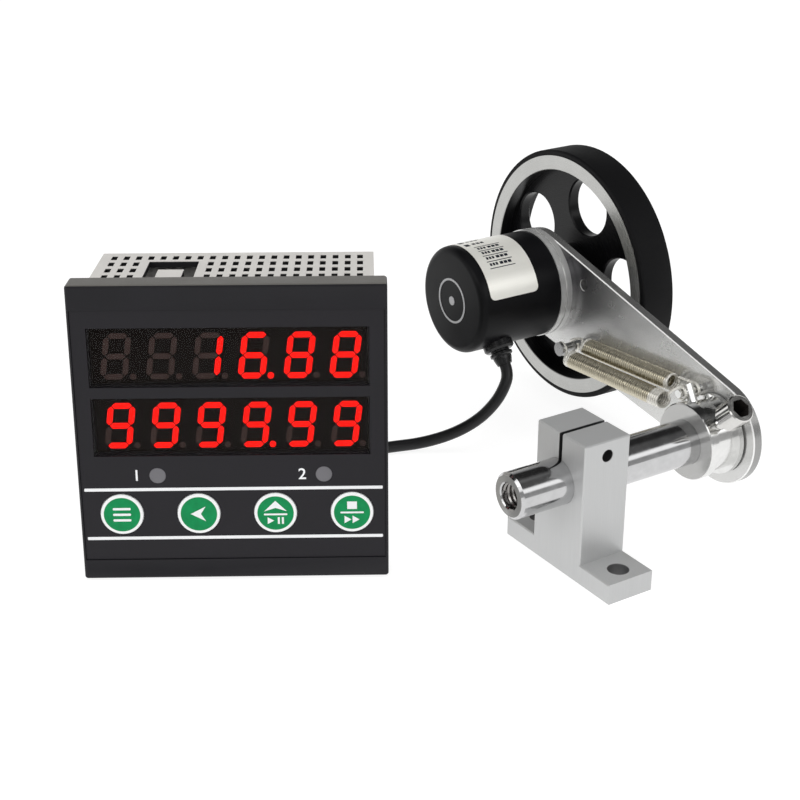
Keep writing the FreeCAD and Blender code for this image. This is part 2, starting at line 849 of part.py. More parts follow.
def barSolid(name, centreX, centreY):
    acrossShare, upShare, level = barShares[name]
    width = size.digit_width - size.digit_stroke
    height = size.digit_height - size.digit_stroke
    x, y = acrossShare * width, upShare * height
    half = (width if level else height / 2) / 2 - size.segment_gap
    thick = size.digit_stroke / 2
    ends = [(-half, 0), (-half + thick, thick), (half - thick, thick),
            (half, 0), (half - thick, -thick), (-half + thick, -thick)]
    if not level:
        ends = [(v, u) for u, v in ends]
    points = [slanted(x + u, y + v) + Vector(centreX, centreY, 0) for u, v in ends]
    face = Part.Face(Part.makePolygon(points + points[:1]))
    return face.extrude(Vector(0, 0, size.segment_thick))


def digitSegments():
    lit, dark = [], []
    for text, up, pointAt in zip(rowTexts, windowUps, litPoints):
        for i, digit in enumerate(text):
            centre = (i - (size.digit_count - 1) / 2) * size.digit_pitch + size.digit_shift
            for name in barShares:
                (lit if name in litBars[digit] else dark).append(barSolid(name, centre, up))
            low = (size.digit_stroke - size.digit_height) / 2
            spot = slanted(size.digit_width / 2 + size.digit_stroke, low)
            point = Part.makeCylinder(size.point_diameter / 2, size.segment_thick,
                                      spot + Vector(centre, up, 0))
            (lit if i == pointAt else dark).append(point)
    place = faceFrame * shift(0, 0, -moduleFront)
    formed("lit_segments", Part.makeCompound(lit), place)
    formed("unlit_segments", Part.makeCompound(dark), place)


def alarmLights():
    lenses = []
    for x in alarmXs:
        long = size.board_depth - size.panel_recess - size.alarm_diameter / 2
        stem = cylinder(size.alarm_diameter / 2, long, shift(x, size.alarm_up, -size.board_depth))
        dome = document.addObject("Part::Sphere", "Dome")
        bind(dome, "Radius", size.alarm_diameter / 2)
        dome.Placement = shift(x, size.alarm_up, long - size.board_depth)
        lenses.append(fused([stem, dome]))
    group("alarm_lights", lenses, faceFrame)


def displayBoard():
    low = (size.face_width - size.board_width) / 2
    half = size.board_width / 2
    slab("display_board", faceFrame, -(size.board_depth + size.board_thick), size.board_thick,
         boxPoints(-half, half, low, size.face_width - low))


def keySwitches():
    switches = []
    top = size.board_depth - size.switch_height
    for x in keyXs:
        half = size.switch_width / 2
        case = box(size.switch_width, size.switch_width, size.switch_height,
                   shift(x - half, size.key_up - half, -size.board_depth))
        well = cylinder(stemHole, size.key_stem_entry + 2 * size.key_travel + size.cut_overrun,
                        shift(x, size.key_up, -(top + size.key_stem_entry + 2 * size.key_travel)))
        switches.append(less(case, [well]))
    group("key_switches", switches, faceFrame)


def keys():
    labels = ("set_key", "shift_key", "up_key", "reset_key")
    capRadius = size.key_diameter / 2
    stemRadius = size.key_stem_diameter / 2
    stemEnd = size.board_depth - size.switch_height + size.key_stem_entry
    front = size.key_proud
    for label, x in zip(labels, keyXs):
        place = faceFrame * shift(x, size.key_up)
        turned(label, place, [
            (0, -stemEnd), (stemRadius, -stemEnd), (stemRadius, -keyBack), (keyFlangeRadius, -keyBack),
            (keyFlangeRadius, -keyBack + size.key_flange_thick),
            (capRadius, -keyBack + size.key_flange_thick), (capRadius, front - size.key_bevel),
            (capRadius - size.key_bevel, front), (0, front)])


# Counter: housing with its vents and latch, rear cover and terminals

housingHalf = size.housing_width / 2
housingLow = (size.face_width - size.housing_width) / 2
housingHigh = housingLow + size.housing_width
housingBack = size.bezel_depth + size.housing_depth
sideVents = (True, False)


def ventSolids(top):
    # Slots through one wall, a grid that leaves room for the latch at the top
    slots = []
    up = housingHigh - size.housing_wall - size.cut_overrun if top else housingLow - size.cut_overrun
    tall = size.housing_wall + 2 * size.cut_overrun
    for row in range(int(size.vent_rows)):
        depth = size.bezel_depth + size.vent_first_row + row * size.vent_row_pitch
        for column in range(int(size.vent_columns)):
            latched = size.latch_first_column <= column < size.latch_first_column + size.latch_columns
            if top and latched and row < size.vent_rows - 1:
                continue
            x = (column - (size.vent_columns - 1) / 2) * size.vent_column_pitch
            corner = Vector(x - size.vent_width / 2, up, -(depth + size.vent_length / 2))
            slots.append(Part.makeBox(size.vent_width, tall, size.vent_length, corner))
    return slots


def latchCentre():
    column = size.latch_first_column + (size.latch_columns - 1) / 2
    return (column - (size.vent_columns - 1) / 2) * size.vent_column_pitch


def housing():
    wall, over = size.housing_wall, size.cut_overrun
    outside = Part.makeBox(size.housing_width, size.housing_width, size.housing_depth,
                           Vector(-housingHalf, housingLow, -housingBack))
    inside = Part.makeBox(size.housing_width - 2 * wall, size.housing_width - 2 * wall,
                          size.housing_depth + 2 * over,
                          Vector(-housingHalf + wall, housingLow + wall, -housingBack - over))
    up = housingHigh - wall - over
    tall = wall + 2 * over
    middle = latchCentre()
    back = size.bezel_depth + size.housing_depth - size.latch_back - size.vent_length
    window = Part.makeBox(size.latch_width, tall, size.latch_length,
                          Vector(middle - size.latch_width / 2, up, -back))
    tabFront = back - size.latch_length
    tab = Part.makeBox(size.latch_tab_width, wall, size.latch_tab_length,
                       Vector(middle - size.latch_tab_width / 2, housingHigh - wall,
                              -(tabFront + size.latch_tab_length)))
    openings = [window] + [slot for top in sideVents for slot in ventSolids(top)]
    shell = outside.cut(inside).cut(openings).fuse(tab)
    formed("perforated_housing", shell.removeSplitter(), faceFrame)


coverBack = coverDepth + size.rear_cover_thick


def rearCover():
    half = housingHalf - size.housing_wall - size.housing_gap
    low = housingLow + size.housing_wall + size.housing_gap
    slab("rear_cover", faceFrame, -coverBack, size.rear_cover_thick,
         boxPoints(-half, half, low, size.face_width - low))


terminalUps = (size.terminal_low_up, size.terminal_high_up)
entryShare = 0.5
wellShare = 0.25


def terminalXs():
    middle = (size.terminal_count - 1) / 2
    return [(i - middle) * size.terminal_pitch for i in range(int(size.terminal_count))]


def terminalBlocks():
    long = size.terminal_count * size.terminal_pitch + 2 * size.terminal_end_wall
    for label, up, outward in zip(("lower_terminal_block", "upper_terminal_block"), terminalUps, sides):
        body = newBody(label, faceFrame * shift(-long / 2, up, -coverBack))
        profile = newSketch(body, label + "Profile", "YZ_Plane")
        tall, deep, step = size.terminal_height / 2, size.terminal_depth, size.terminal_step
        corners = [(-tall, 0), (tall, 0), (tall, step - deep), (tall - step, -deep), (-tall, -deep)]
        if outward < 0:
            corners = [(-u, v) for u, v in corners]
        drawOutline(profile, corners)
        pad(body, profile, long)
        entries = newSketch(body, label + "Entries", "XY_Plane", -deep)
        wells = newSketch(body, label + "Wells", "XY_Plane", -deep)
        for x in terminalXs():
            middle = x + long / 2
            drawBox(entries, middle, -outward * tall * entryShare, size.terminal_entry, size.terminal_entry)
            drawCircle(wells, middle, outward * tall * wellShare,
                       size.terminal_screw_diameter / 2 + size.terminal_screw_gap)
        for sketch, depth in ((entries, size.terminal_entry_depth),
                              (wells, size.terminal_screw_sunk + size.terminal_screw_height)):
            feature = cut(body, sketch, depth)
            feature.Reversed = True


def terminalScrews():
    screws = []
    rise = size.terminal_height / 2 * wellShare
    seat = coverBack + size.terminal_depth - size.terminal_screw_sunk
    for up, outward in zip(terminalUps, sides):
        for x in terminalXs():
            y = up + outward * rise
            radius = size.terminal_screw_diameter / 2
            head = cylinder(radius, size.terminal_screw_height, shift(x, y, -seat))
            slotPlace = shift(x - radius, y - size.screw_slot / 2, -seat - size.screw_slot / 2)
            slot = box(size.terminal_screw_diameter, size.screw_slot, size.screw_slot, slotPlace)
            screws.append(less(head, [slot]))
    group("terminal_screws", screws, faceFrame)


# Counter: main board and what stands on it

boardTop = size.main_board_up + size.board_thick
mainBack = frontDepth + mainLength
mainMiddle = frontDepth + mainLength / 2


def standing(width, height, depth, x):
    corner = shift(x - width / 2, boardTop, -(mainMiddle + depth / 2))
    return box(width, height, depth, corner)


def mainBoard():
    named("main_board", box(size.main_board_width, size.board_thick, mainLength, shift()),
          faceFrame * shift(-size.main_board_width / 2, size.main_board_up, -mainBack))


def boardParts():
    tall, x = size.transformer_height, -size.transformer_side
    core = standing(size.transformer_width, tall, size.transformer_depth, x)
    wound = standing(size.transformer_coil_width, tall - size.transformer_coil_proud,
                     size.transformer_depth + 2 * size.transformer_coil_proud, x)
    group("transformer", [fused([core, wound])], faceFrame)
    relays = []
    for i in range(int(size.relay_count)):
        x = size.relay_side + i * size.relay_pitch
        relays.append(standing(size.relay_width, size.relay_height, size.relay_depth, x))
    group("output_relays", relays, faceFrame)
    upright = Rotation(Vector(1, 0, 0), -90)
    cans = []
    for i in range(int(size.capacitor_count)):
        depth = mainMiddle + (i - (size.capacitor_count - 1) / 2) * size.capacitor_pitch
        at = Vector(size.capacitor_side, boardTop, -depth)
        cans.append(cylinder(size.capacitor_diameter / 2, size.capacitor_height, Placement(at, upright)))
    group("capacitors", cans, faceFrame)
    pins = []
    for i in range(int(size.header_pins)):
        x = (i - (size.header_pins - 1) / 2) * size.header_pitch + size.header_side
        pins.append(box(size.header_pin, size.header_pin, size.header_reach + size.main_board_clear,
                        shift(x, boardTop, -(frontDepth + size.header_reach))))
    group("link_pins", pins, faceFrame)


# Bracket: support block, shaft and hub

blockHalf = size.block_width / 2
neckHalf = size.block_neck / 2
shaftRadius = size.shaft_diameter / 2
boreRadius = shaftRadius + size.bore_gap
clampUp = size.clamp_screw_up - size.shaft_up


def supportBlock():
    top = size.block_height - size.shaft_up
    footTop = size.block_foot - size.shaft_up
    half = size.block_thick / 2
    outline = [(-blockHalf, -size.shaft_up), (blockHalf, -size.shaft_up), (blockHalf, footTop),
               (neckHalf, footTop), (neckHalf, top), (-neckHalf, top), (-neckHalf, footTop),
               (-blockHalf, footTop)]
    body = slab("support_block", shaftFrame, -half, size.block_thick, outline)
    dress(body, "Chamfer", size.block_chamfer,
          lambda edge: atHeight(edge, half) or atHeight(edge, -half) or edge.BoundBox.YMin > top - closeTo)
    bore = newSketch(body, "ShaftBore", "XY_Plane", half + size.cut_overrun)
    drawCircle(bore, 0, 0, boreRadius)
    cut(body, bore, size.block_thick + 2 * size.cut_overrun)
    slot = newSketch(body, "ClampSlot", "XY_Plane", half + size.cut_overrun)
    drawOutline(slot, boxPoints(-size.block_slot / 2, size.block_slot / 2, 0, top + size.cut_overrun))
    cut(body, slot, size.block_thick + 2 * size.cut_overrun)
    bolts = newSketch(body, "FootHoles", "XZ_Plane", -(footTop + size.cut_overrun))
    for side in sides:
        drawCircle(bolts, side * size.block_hole_spacing / 2, 0, size.block_hole_diameter / 2)
    footCut = cut(body, bolts, size.block_foot + 2 * size.cut_overrun)
    footCut.Reversed = True
    headHole = size.clamp_head_diameter / 2 + size.clamp_head_gap
    for name, radius, depth in (
            ("ClampTap", size.clamp_tap_diameter / 2, size.block_neck),
            ("ClampClearance", size.clamp_clear_diameter / 2, neckHalf),
            ("ClampHead", headHole, size.clamp_head_height)):
        sketch = newSketch(body, name, "YZ_Plane", neckHalf + size.cut_overrun)
        drawCircle(sketch, clampUp, 0, radius)
        over = 2 * size.cut_overrun if name == "ClampTap" else size.cut_overrun
        cut(body, sketch, depth + over)


def socketScrew(label, placement, head, tall, shank, long):
    # A socket head screw: its head's top at local zero, its shank towards -Z
    body = turned(label, placement, [
        (0, -tall - long), (shank, -tall - long), (shank, -tall), (head, -tall), (head, 0), (0, 0)])
    socket = newSketch(body, label + "Socket", "XY_Plane", size.cut_overrun)
    drawHexagon(socket, 0, 0, size.socket_across)
    cut(body, socket, size.socket_depth + size.cut_overrun)
    return body


hexagonSides = 6


def drawHexagon(sketch, x, y, across):
    corner = across / math.sqrt(3)
    points = []
    for i in range(hexagonSides):
        turn = 2 * math.pi * i / hexagonSides
        points.append((x + corner * math.cos(turn), y + corner * math.sin(turn)))
    drawOutline(sketch, [(keepSize(u), keepSize(v)) for u, v in points])


def keepSize(value):
    # A hexagon's corner on an axis comes out as nearly zero, and is then zero
    return value if abs(value) > closeTo else 0


def clampScrew():
    place = shaftFrame * Placement(Vector(neckHalf, clampUp, 0), Rotation(Vector(0, 1, 0), 90))
    long = size.block_neck - size.clamp_head_height - size.clamp_tip_short
    socketScrew("support_clamp_screw", place, size.clamp_head_diameter / 2, size.clamp_head_height,
                size.clamp_shank_diameter / 2, long)


collarStart = size.hub_start + size.hub_lip_thick + size.hub_body_length
journalStart = collarStart + size.hub_collar_thick
armBack = size.arm_start + size.arm_thick
journalRadius = size.journal_diameter / 2
retainerStart = armBack + size.bush_flange_thick + size.retainer_gap
ringStart = retainerStart + size.retainer_thick + size.ring_gap
journalEnd = ringStart + size.ring_thick + size.journal_rest


def supportShaft():
    tap = size.shaft_tap_diameter / 2
    front, chamfer = -size.shaft_front, size.shaft_chamfer
    turned("support_shaft", shaftFrame, [
        (0, front + size.shaft_tap_depth), (tap, front + size.shaft_tap_depth), (tap, front + chamfer / 2),
        (tap + chamfer / 2, front), (shaftRadius - chamfer, front), (shaftRadius, front + chamfer),
        (shaftRadius, journalEnd - chamfer), (shaftRadius - chamfer, journalEnd), (0, journalEnd)])


def pivotHub():
    lip, hub = size.hub_lip_diameter / 2, size.hub_diameter / 2
    collar, chamfer = size.hub_collar_diameter / 2, size.arm_chamfer
    lipEnd = size.hub_start + size.hub_lip_thick
    groove = journalRadius - size.ring_groove_depth
    grooveStart = ringStart - size.part_gap
    grooveEnd = ringStart + size.ring_thick + size.part_gap
    body = turned("pivot_hub", shaftFrame, [
        (boreRadius, size.hub_start), (lip - chamfer, size.hub_start), (lip, size.hub_start + chamfer),
        (lip, lipEnd), (hub, lipEnd), (hub, collarStart), (collar, collarStart), (collar, journalStart),
        (journalRadius, journalStart), (journalRadius, grooveStart), (groove, grooveStart),
        (groove, grooveEnd), (journalRadius, grooveEnd), (journalRadius, journalEnd),
        (boreRadius, journalEnd)])
    for name, angle, along, radius in (
            ("LockHole", size.lock_screw_angle, size.lock_screw_along,
             size.lock_thread_diameter / 2 + size.lock_thread_gap),
            ("AnchorHole", size.anchor_angle, size.anchor_along,
             size.anchor_stud_diameter / 2 + size.lock_thread_gap)):
        sideHole(body, name, radial(angle, along, lip), radius, lip - shaftRadius + size.cut_overrun)


def hubLockScrew():
    # The tall head of the screw that locks the hub on the shaft, with its hexagon socket
    thread, head = size.lock_thread_diameter / 2, size.lock_head_diameter / 2
    start, seat = shaftRadius + size.part_gap, size.lock_head_start
    end = seat + size.lock_head_length
    chamfer = size.arm_chamfer
    pitch = size.lock_neck / size.lock_ring_count
    rings = [(0, start), (thread, start), (thread, seat - size.lock_ring_count * pitch)]
    for i in range(int(size.lock_ring_count)):
        low = seat - (size.lock_ring_count - i) * pitch
        rings += [(thread - size.lock_thread_depth, low + pitch / 2), (thread, low + pitch)]
    rings += [(head - chamfer, seat), (head, seat + chamfer), (head, end - chamfer), (head - chamfer, end),
              (0, end)]
    place = shaftFrame * radial(size.lock_screw_angle, size.lock_screw_along, 0)
    body = turned("hub_lock_screw", place, rings)
    socket = newSketch(body, "LockSocket", "XY_Plane", end + size.cut_overrun)
    drawHexagon(socket, 0, 0, size.lock_socket_across)
    cut(body, socket, size.lock_socket_depth + size.cut_overrun)


def springAnchor():
    start = shaftRadius + size.part_gap
    stud = cylinder(size.anchor_stud_diameter / 2, size.anchor_reach - start,
                    radial(size.anchor_angle, size.anchor_along, start))
    turn = math.radians(size.anchor_angle)
    pin = cylinder(size.anchor_pin_diameter / 2, size.anchor_pin_length,
                   shift(size.anchor_pin_radius * math.cos(turn), size.anchor_pin_radius * math.sin(turn),
                         size.anchor_pin_start))
    named("spring_anchor", fused([stud, pin]), shaftFrame)


# Arm: plate, bush, retainer and spring post

bushRadius = journalRadius + size.bush_gap
bushOuter = bushRadius + size.bush_wall
encoderRadius = size.encoder_diameter / 2
bossRadius = size.boss_diameter / 2
postDrop = -size.post_drop


def armPlate():
    # The two ends are round, and the plate tapers between them
    body = slab("arm_plate", armFrame, size.arm_start, size.arm_thick, [
        (0, -size.arm_lower_offset), (size.arm_length, -size.arm_big_radius),
        (size.arm_length, size.arm_big_radius), (0, size.arm_small_radius)])
    ends = (("BigEnd", size.arm_length, size.arm_big_radius), ("SmallEnd", 0, size.arm_small_radius))
    for name, x, radius in ends:
        sketch = newSketch(body, name, "XY_Plane", size.arm_start)
        drawCircle(sketch, x, 0, radius)
        pad(body, sketch, size.arm_thick)
    dress(body, "Chamfer", size.arm_chamfer,
          lambda edge: atHeight(edge, size.arm_start) or atHeight(edge, armBack))
    holes = newSketch(body, "ArmHoles", "XY_Plane", armBack + size.cut_overrun)
    drawCircle(holes, 0, 0, bushOuter + size.bore_gap)
    drawCircle(holes, size.arm_length, 0, bossRadius + size.boss_gap)
    drawCircle(holes, size.post_along, postDrop, size.post_diameter / 2 + size.post_gap)
    drawCircle(holes, size.spare_hole_along, size.spare_hole_up, size.spare_hole_diameter / 2)
    for x, y in faceScrewPlaces():
        drawCircle(holes, size.arm_length + x, y, size.face_screw_diameter / 2 + size.face_screw_gap)
    cut(body, holes, size.arm_thick + 2 * size.cut_overrun)
    sinks = newSketch(body, "ScrewSinks", "XY_Plane", armBack + size.cut_overrun)
    for x, y in faceScrewPlaces():
        drawCircle(sinks, size.arm_length + x, y, size.face_screw_head / 2 + size.face_screw_gap)
    cut(body, sinks, size.face_screw_depth + size.cut_overrun)


def faceScrewPlaces():
    places = []
    for i in range(int(size.face_screw_count)):
        turn = math.radians(size.face_screw_angle + 360 * i / size.face_screw_count)
        radius = size.face_screw_circle / 2
        places.append((radius * math.cos(turn), radius * math.sin(turn)))
    return places


def pivotBush():
    wide = bushRadius + size.bush_flange_wall
    turned("pivot_bush", armFrame, [
        (bushRadius, size.arm_start), (bushOuter, size.arm_start), (bushOuter, armBack),
        (wide, armBack), (wide, armBack + size.bush_flange_thick),
        (bushRadius, armBack + size.bush_flange_thick)])


def retainer():
    inner = journalRadius + size.part_gap
    turned("retaining_washer", shaftFrame, [
        (inner, retainerStart), (inner + size.retainer_wall, retainerStart),
        (inner + size.retainer_wall, retainerStart + size.retainer_thick),
        (inner, retainerStart + size.retainer_thick)])
    groove = journalRadius - size.ring_groove_depth + size.part_gap
    body = turned("retaining_ring", shaftFrame, [
        (groove, ringStart), (groove + size.ring_wall, ringStart),
        (groove + size.ring_wall, ringStart + size.ring_thick), (groove, ringStart + size.ring_thick)])
    gap = newSketch(body, "RingOpening", "XY_Plane", ringStart + size.ring_thick + size.cut_overrun)
    half = size.ring_opening / 2
    drawOutline(gap, boxPoints(-half, half, -journalRadius - size.ring_wall, 0))
    cut(body, gap, size.ring_thick + 2 * size.cut_overrun)


postEnd = size.arm_start - size.post_reach
postBack = armBack + size.post_nut_height + size.post_head_height / 2


def springPost():
    shank, head = size.post_diameter / 2, size.post_head_diameter / 2
    place = armFrame * shift(size.post_along, postDrop)
    turned("spring_post", place, [
        (0, postEnd), (head, postEnd), (head, postEnd + size.post_head_height),
        (shank, postEnd + size.post_head_height), (shank, postBack), (0, postBack)])
    nut = newBody("post_nut", place)
    sketch = newSketch(nut, "NutOutline", "XY_Plane", armBack)
    drawHexagon(sketch, 0, 0, size.post_nut_across)
    drawCircle(sketch, 0, 0, shank + size.post_gap)
    pad(nut, sketch, size.post_nut_height)


# Encoder: flange with its bearing tube, shell, label and lead boot

flangeStart = size.arm_start - size.flange_thick
bearingRadius = size.bearing_outer / 2
seatRadius = bearingRadius + size.bearing_gap
spigotRadius = encoderRadius - size.encoder_wall - size.spigot_gap
bossEnd = size.arm_start + size.boss_length
rearSeatEnd = size.bearing_tube_start + size.bearing_width
frontSeatStart = bossEnd - size.bearing_width


def encoderFlange():
    wide, tube, bore = size.flange_diameter / 2, size.bearing_tube_diameter / 2, size.tube_bore / 2
    middle = (flangeStart + size.arm_start) / 2
    groove = wide - size.flange_groove_depth
    body = turned("encoder_flange", encoderFrame, [
        (bore, rearSeatEnd), (seatRadius, rearSeatEnd), (seatRadius, size.bearing_tube_start),
        (tube, size.bearing_tube_start), (tube, flangeStart - size.spigot_length),
        (spigotRadius, flangeStart - size.spigot_length), (spigotRadius, flangeStart), (wide, flangeStart),
        (wide, middle - size.flange_groove / 2), (groove, middle - size.flange_groove / 2),
        (groove, middle + size.flange_groove / 2), (wide, middle + size.flange_groove / 2),
        (wide, size.arm_start), (bossRadius, size.arm_start), (bossRadius, bossEnd), (seatRadius, bossEnd),
        (seatRadius, frontSeatStart), (bore, frontSeatStart)])
    taps = newSketch(body, "FlangeTaps", "XY_Plane", size.arm_start + size.cut_overrun)
    for x, y in faceScrewPlaces():
        drawCircle(taps, x, y, size.face_screw_diameter / 2 + size.part_gap)
    cut(body, taps, size.flange_thick + size.cut_overrun)


def faceScrews():
    pieces = []
    shank, head = size.face_screw_diameter / 2, size.face_screw_head / 2
    for x, y in faceScrewPlaces():
        start = flangeStart + size.cut_overrun
        body = cylinder(shank, armBack - size.face_screw_depth - start, shift(x, y, start))
        seat = shift(x, y, armBack - size.face_screw_depth)
        cap = cylinder(head, size.face_screw_depth - size.part_gap, seat)
        driveDepth = size.face_screw_depth / 2
        slot = box(size.face_screw_head, size.screw_slot, driveDepth,
                   shift(x - head, y - size.screw_slot / 2, armBack - driveDepth))
        pieces.append(less(fused([body, cap]), [slot]))
    group("flange_screws", pieces, encoderFrame)


def encoderShell():
    inner, capEnd = encoderRadius - size.encoder_wall, size.encoder_front + size.encoder_cap
    body = turned("encoder_shell", encoderFrame, [
        (0, size.encoder_front), (encoderRadius, size.encoder_front), (encoderRadius, flangeStart),
        (inner, flangeStart), (inner, capEnd), (0, capEnd)])
    dress(body, "Fillet", size.encoder_cap_round, lambda edge: atHeight(edge, size.encoder_front))
    place = radial(size.boot_angle - size.arm_angle, size.boot_along, encoderRadius + size.cut_overrun)
    sideHole(body, "BootHole", place, size.boot_inner_diameter / 2 + size.boot_hole_gap,
             size.encoder_wall + 2 * size.cut_overrun)


def capMark():
    # A plain raised ring and dot on the end of the shell
    outer, dot = size.mark_ring_diameter / 2, size.mark_dot_diameter / 2
    start = size.encoder_front - size.mark_proud
    ring = less(cylinder(outer, size.mark_proud, shift(0, 0, start)),
                [cylinder(outer - size.mark_ring_width, size.mark_proud + 2 * size.cut_overrun,
                          shift(0, 0, start - size.cut_overrun))])
    group("cap_mark", [ring, cylinder(dot, size.mark_proud, shift(0, 0, start))], encoderFrame)


def encoderLabel():
    inner = encoderRadius + size.label_gap
    low = 180 - size.label_low_angle - size.label_sweep - size.arm_angle
    outside = Part.makeCylinder(inner + size.label_thick, size.label_length, Vector(0, 0, size.label_start),
                                Vector(0, 0, 1), size.label_sweep)
    inside = Part.makeCylinder(inner, size.label_length, Vector(0, 0, size.label_start),
                               Vector(0, 0, 1), size.label_sweep)
    piece = outside.cut(inside)
    piece.rotate(Vector(), Vector(0, 0, 1), low)
    formed("encoder_label", piece, encoderFrame)


bootFrame = encoderFrame * radial(size.boot_angle - size.arm_angle, size.boot_along, 0)
bootSeat = encoderRadius
bootStart = encoderRadius + size.boot_collar_length
bootEnd = (bootStart + 2 * size.boot_waist_length + size.boot_bead_length + size.boot_neck_length)


def leadBoot():
    plug, collar = size.boot_inner_diameter / 2, size.boot_collar_diameter / 2
    waist, bead, end = size.boot_waist_diameter / 2, size.boot_bead_diameter / 2, size.boot_end_diameter / 2
    beadStart = bootStart + size.boot_waist_length
    beadEnd = beadStart + size.boot_bead_length
    low = encoderRadius - size.encoder_wall
    body = turned("lead_boot", bootFrame, [
        (0, size.boot_inner), (plug, size.boot_inner), (plug, bootSeat), (collar, low),
        (collar, bootStart - size.boot_collar_bevel), (collar - size.boot_collar_bevel, bootStart),
        (waist, bootStart), (waist, beadStart), (bead, beadStart + size.boot_bead_bevel),
        (bead, beadEnd - size.boot_bead_bevel), (waist, beadEnd), (waist, beadEnd + size.boot_waist_length),
        (end, bootEnd), (0, bootEnd)])
    body.Label = "lead_boot_blank"
    nodes.remove(body)
    document.recompute()
    # The collar is cut to sit on the round shell
    seat = document.addObject("Part::Cylinder", "ShellSeat")
    bind(seat, "Radius", size.encoder_diameter / 2 + size.boot_seat_gap)
    bind(seat, "Height", size.flange_diameter)
    seat.Placement = encoderFrame * shift(0, 0, size.boot_along - size.flange_diameter / 2)
    plugPiece = cylinder(plug, encoderRadius - size.boot_inner + size.boot_waist_length,
                         bootFrame * shift(0, 0, size.boot_inner))
    seated = less(body, [seat])
    whole = fused([seated, plugPiece])
    named("lead_boot", whole, Placement())


def encoderInside():
    board, bore = size.encoder_board_diameter / 2, size.encoder_board_bore / 2
    boardEnd = size.encoder_board_start + size.encoder_board_thick
    turned("encoder_board", encoderFrame, [
        (bore, size.encoder_board_start), (board, size.encoder_board_start), (board, boardEnd),
        (bore, boardEnd)])
    half = size.reader_width / 2
    named("disc_reader", box(size.reader_width, size.reader_length, size.reader_height, shift()),
          encoderFrame * shift(-half, size.disc_slit_radius - size.reader_length / 2, boardEnd))


# Encoder bearings, shaft and code disc

shaftSmall = size.encoder_shaft_diameter / 2
innerRadius = shaftSmall + size.bearing_gap
bearingStarts = (size.bearing_tube_start, frontSeatStart)


def bearings():
    raceInner = bearingRadius - size.outer_race_wall
    shieldInner = innerRadius + size.inner_race_wall + size.shield_gap
    outerRings, innerRings, balls = [], [], []
    ballRadius = size.ball_diameter / 2
    ballCircle = (innerRadius + size.inner_race_wall + raceInner) / 2
    for start in bearingStarts:
        end = start + size.bearing_width
        ring = less(cylinder(bearingRadius, size.bearing_width, shift(0, 0, start)),
                    [cylinder(shieldInner, size.bearing_width + 2 * size.cut_overrun,
                              shift(0, 0, start - size.cut_overrun)),
                     cylinder(raceInner, size.bearing_width - 2 * size.shield_thick,
                              shift(0, 0, start + size.shield_thick))])
        outerRings.append(ring)
        race = cylinder(innerRadius + size.inner_race_wall, size.bearing_width, shift(0, 0, start))
        innerRings.append(less(race, [cylinder(innerRadius, size.bearing_width + 2 * size.cut_overrun,
                                               shift(0, 0, start - size.cut_overrun))]))
        for i in range(int(size.ball_count)):
            turn = 2 * math.pi * i / size.ball_count
            ball = document.addObject("Part::Sphere", "Ball")
            bind(ball, "Radius", ballRadius)
            across = ballCircle * math.cos(turn)
            up = ballCircle * math.sin(turn)
            ball.Placement = shift(across, up, (start + end) / 2)
            balls.append(ball)
    group("bearing_outer_rings", outerRings, encoderFrame)
    group("bearing_inner_rings", innerRings, encoderFrame)
    group("bearing_balls", balls, encoderFrame)


def encoderShaft():
    end = size.wheel_start + size.web_recess + size.web_thick
    chamfer = size.arm_chamfer
    turned("encoder_shaft", encoderFrame, [
        (0, size.encoder_shaft_start), (shaftSmall, size.encoder_shaft_start),
        (shaftSmall, end - chamfer), (shaftSmall - chamfer, end), (0, end)])


def codeDisc():
    outer, hub = size.disc_diameter / 2, size.disc_hub_diameter / 2
    end = size.disc_start + size.disc_thick
    body = turned("code_disc", encoderFrame, [
        (innerRadius, size.disc_start), (outer, size.disc_start), (outer, end), (hub, end),
        (hub, end + size.disc_hub_length), (innerRadius, end + size.disc_hub_length)])
    slit = newSketch(body, "Slit", "XY_Plane", end + size.cut_overrun)
    drawBox(slit, size.disc_slit_radius, 0, size.disc_slit_length, size.disc_slit_width)
    feature = cut(body, slit, size.disc_thick + 2 * size.cut_overrun)
    document.recompute()
    polar(body, feature, size.disc_slits)


# Measuring wheel

rimOuter = size.wheel_diameter / 2 - size.tyre_wall
webStart = size.wheel_start + size.web_recess
webEnd = webStart + size.web_thick
wheelEnd = size.wheel_start + size.wheel_width


def wheelDisc():
    rim, boss, bevel = size.rim_inner_diameter / 2, size.wheel_boss_diameter / 2, size.wheel_bevel
    body = turned("wheel_disc", encoderFrame, [
        (innerRadius, size.wheel_boss_start), (boss - bevel, size.wheel_boss_start),
        (boss, size.wheel_boss_start + bevel), (boss, webStart), (rim, webStart),
        (rim, size.wheel_start + bevel), (rim + bevel, size.wheel_start), (rimOuter, size.wheel_start),
        (rimOuter, wheelEnd), (rim + bevel, wheelEnd), (rim, wheelEnd - bevel), (rim, webEnd),
        (innerRadius, webEnd)])
    hole = newSketch(body, "WebHole", "XY_Plane", webEnd + size.cut_overrun)
    turn = math.radians(size.web_hole_angle - size.arm_angle)
    circle = size.web_hole_circle / 2
    drawCircle(hole, circle * math.cos(turn), circle * math.sin(turn), size.web_hole_diameter / 2)
    feature = cut(body, hole, size.web_thick + 2 * size.cut_overrun)
    document.recompute()
    polar(body, feature, size.web_hole_count)
    dress(body, "Chamfer", size.web_hole_bevel,
          lambda edge: (atHeight(edge, webStart) or atHeight(edge, webEnd))
          and edge.Curve.TypeId == "Part::GeomCircle"
          and abs(edge.Curve.Radius - size.web_hole_diameter / 2) < closeTo)
    boss = size.wheel_boss_diameter / 2
    sideHole(body, "WheelScrewHole", radial(0, size.wheel_screw_along, boss + size.cut_overrun),
             size.wheel_screw_diameter / 2 + size.wheel_screw_gap, boss - shaftSmall + size.cut_overrun)


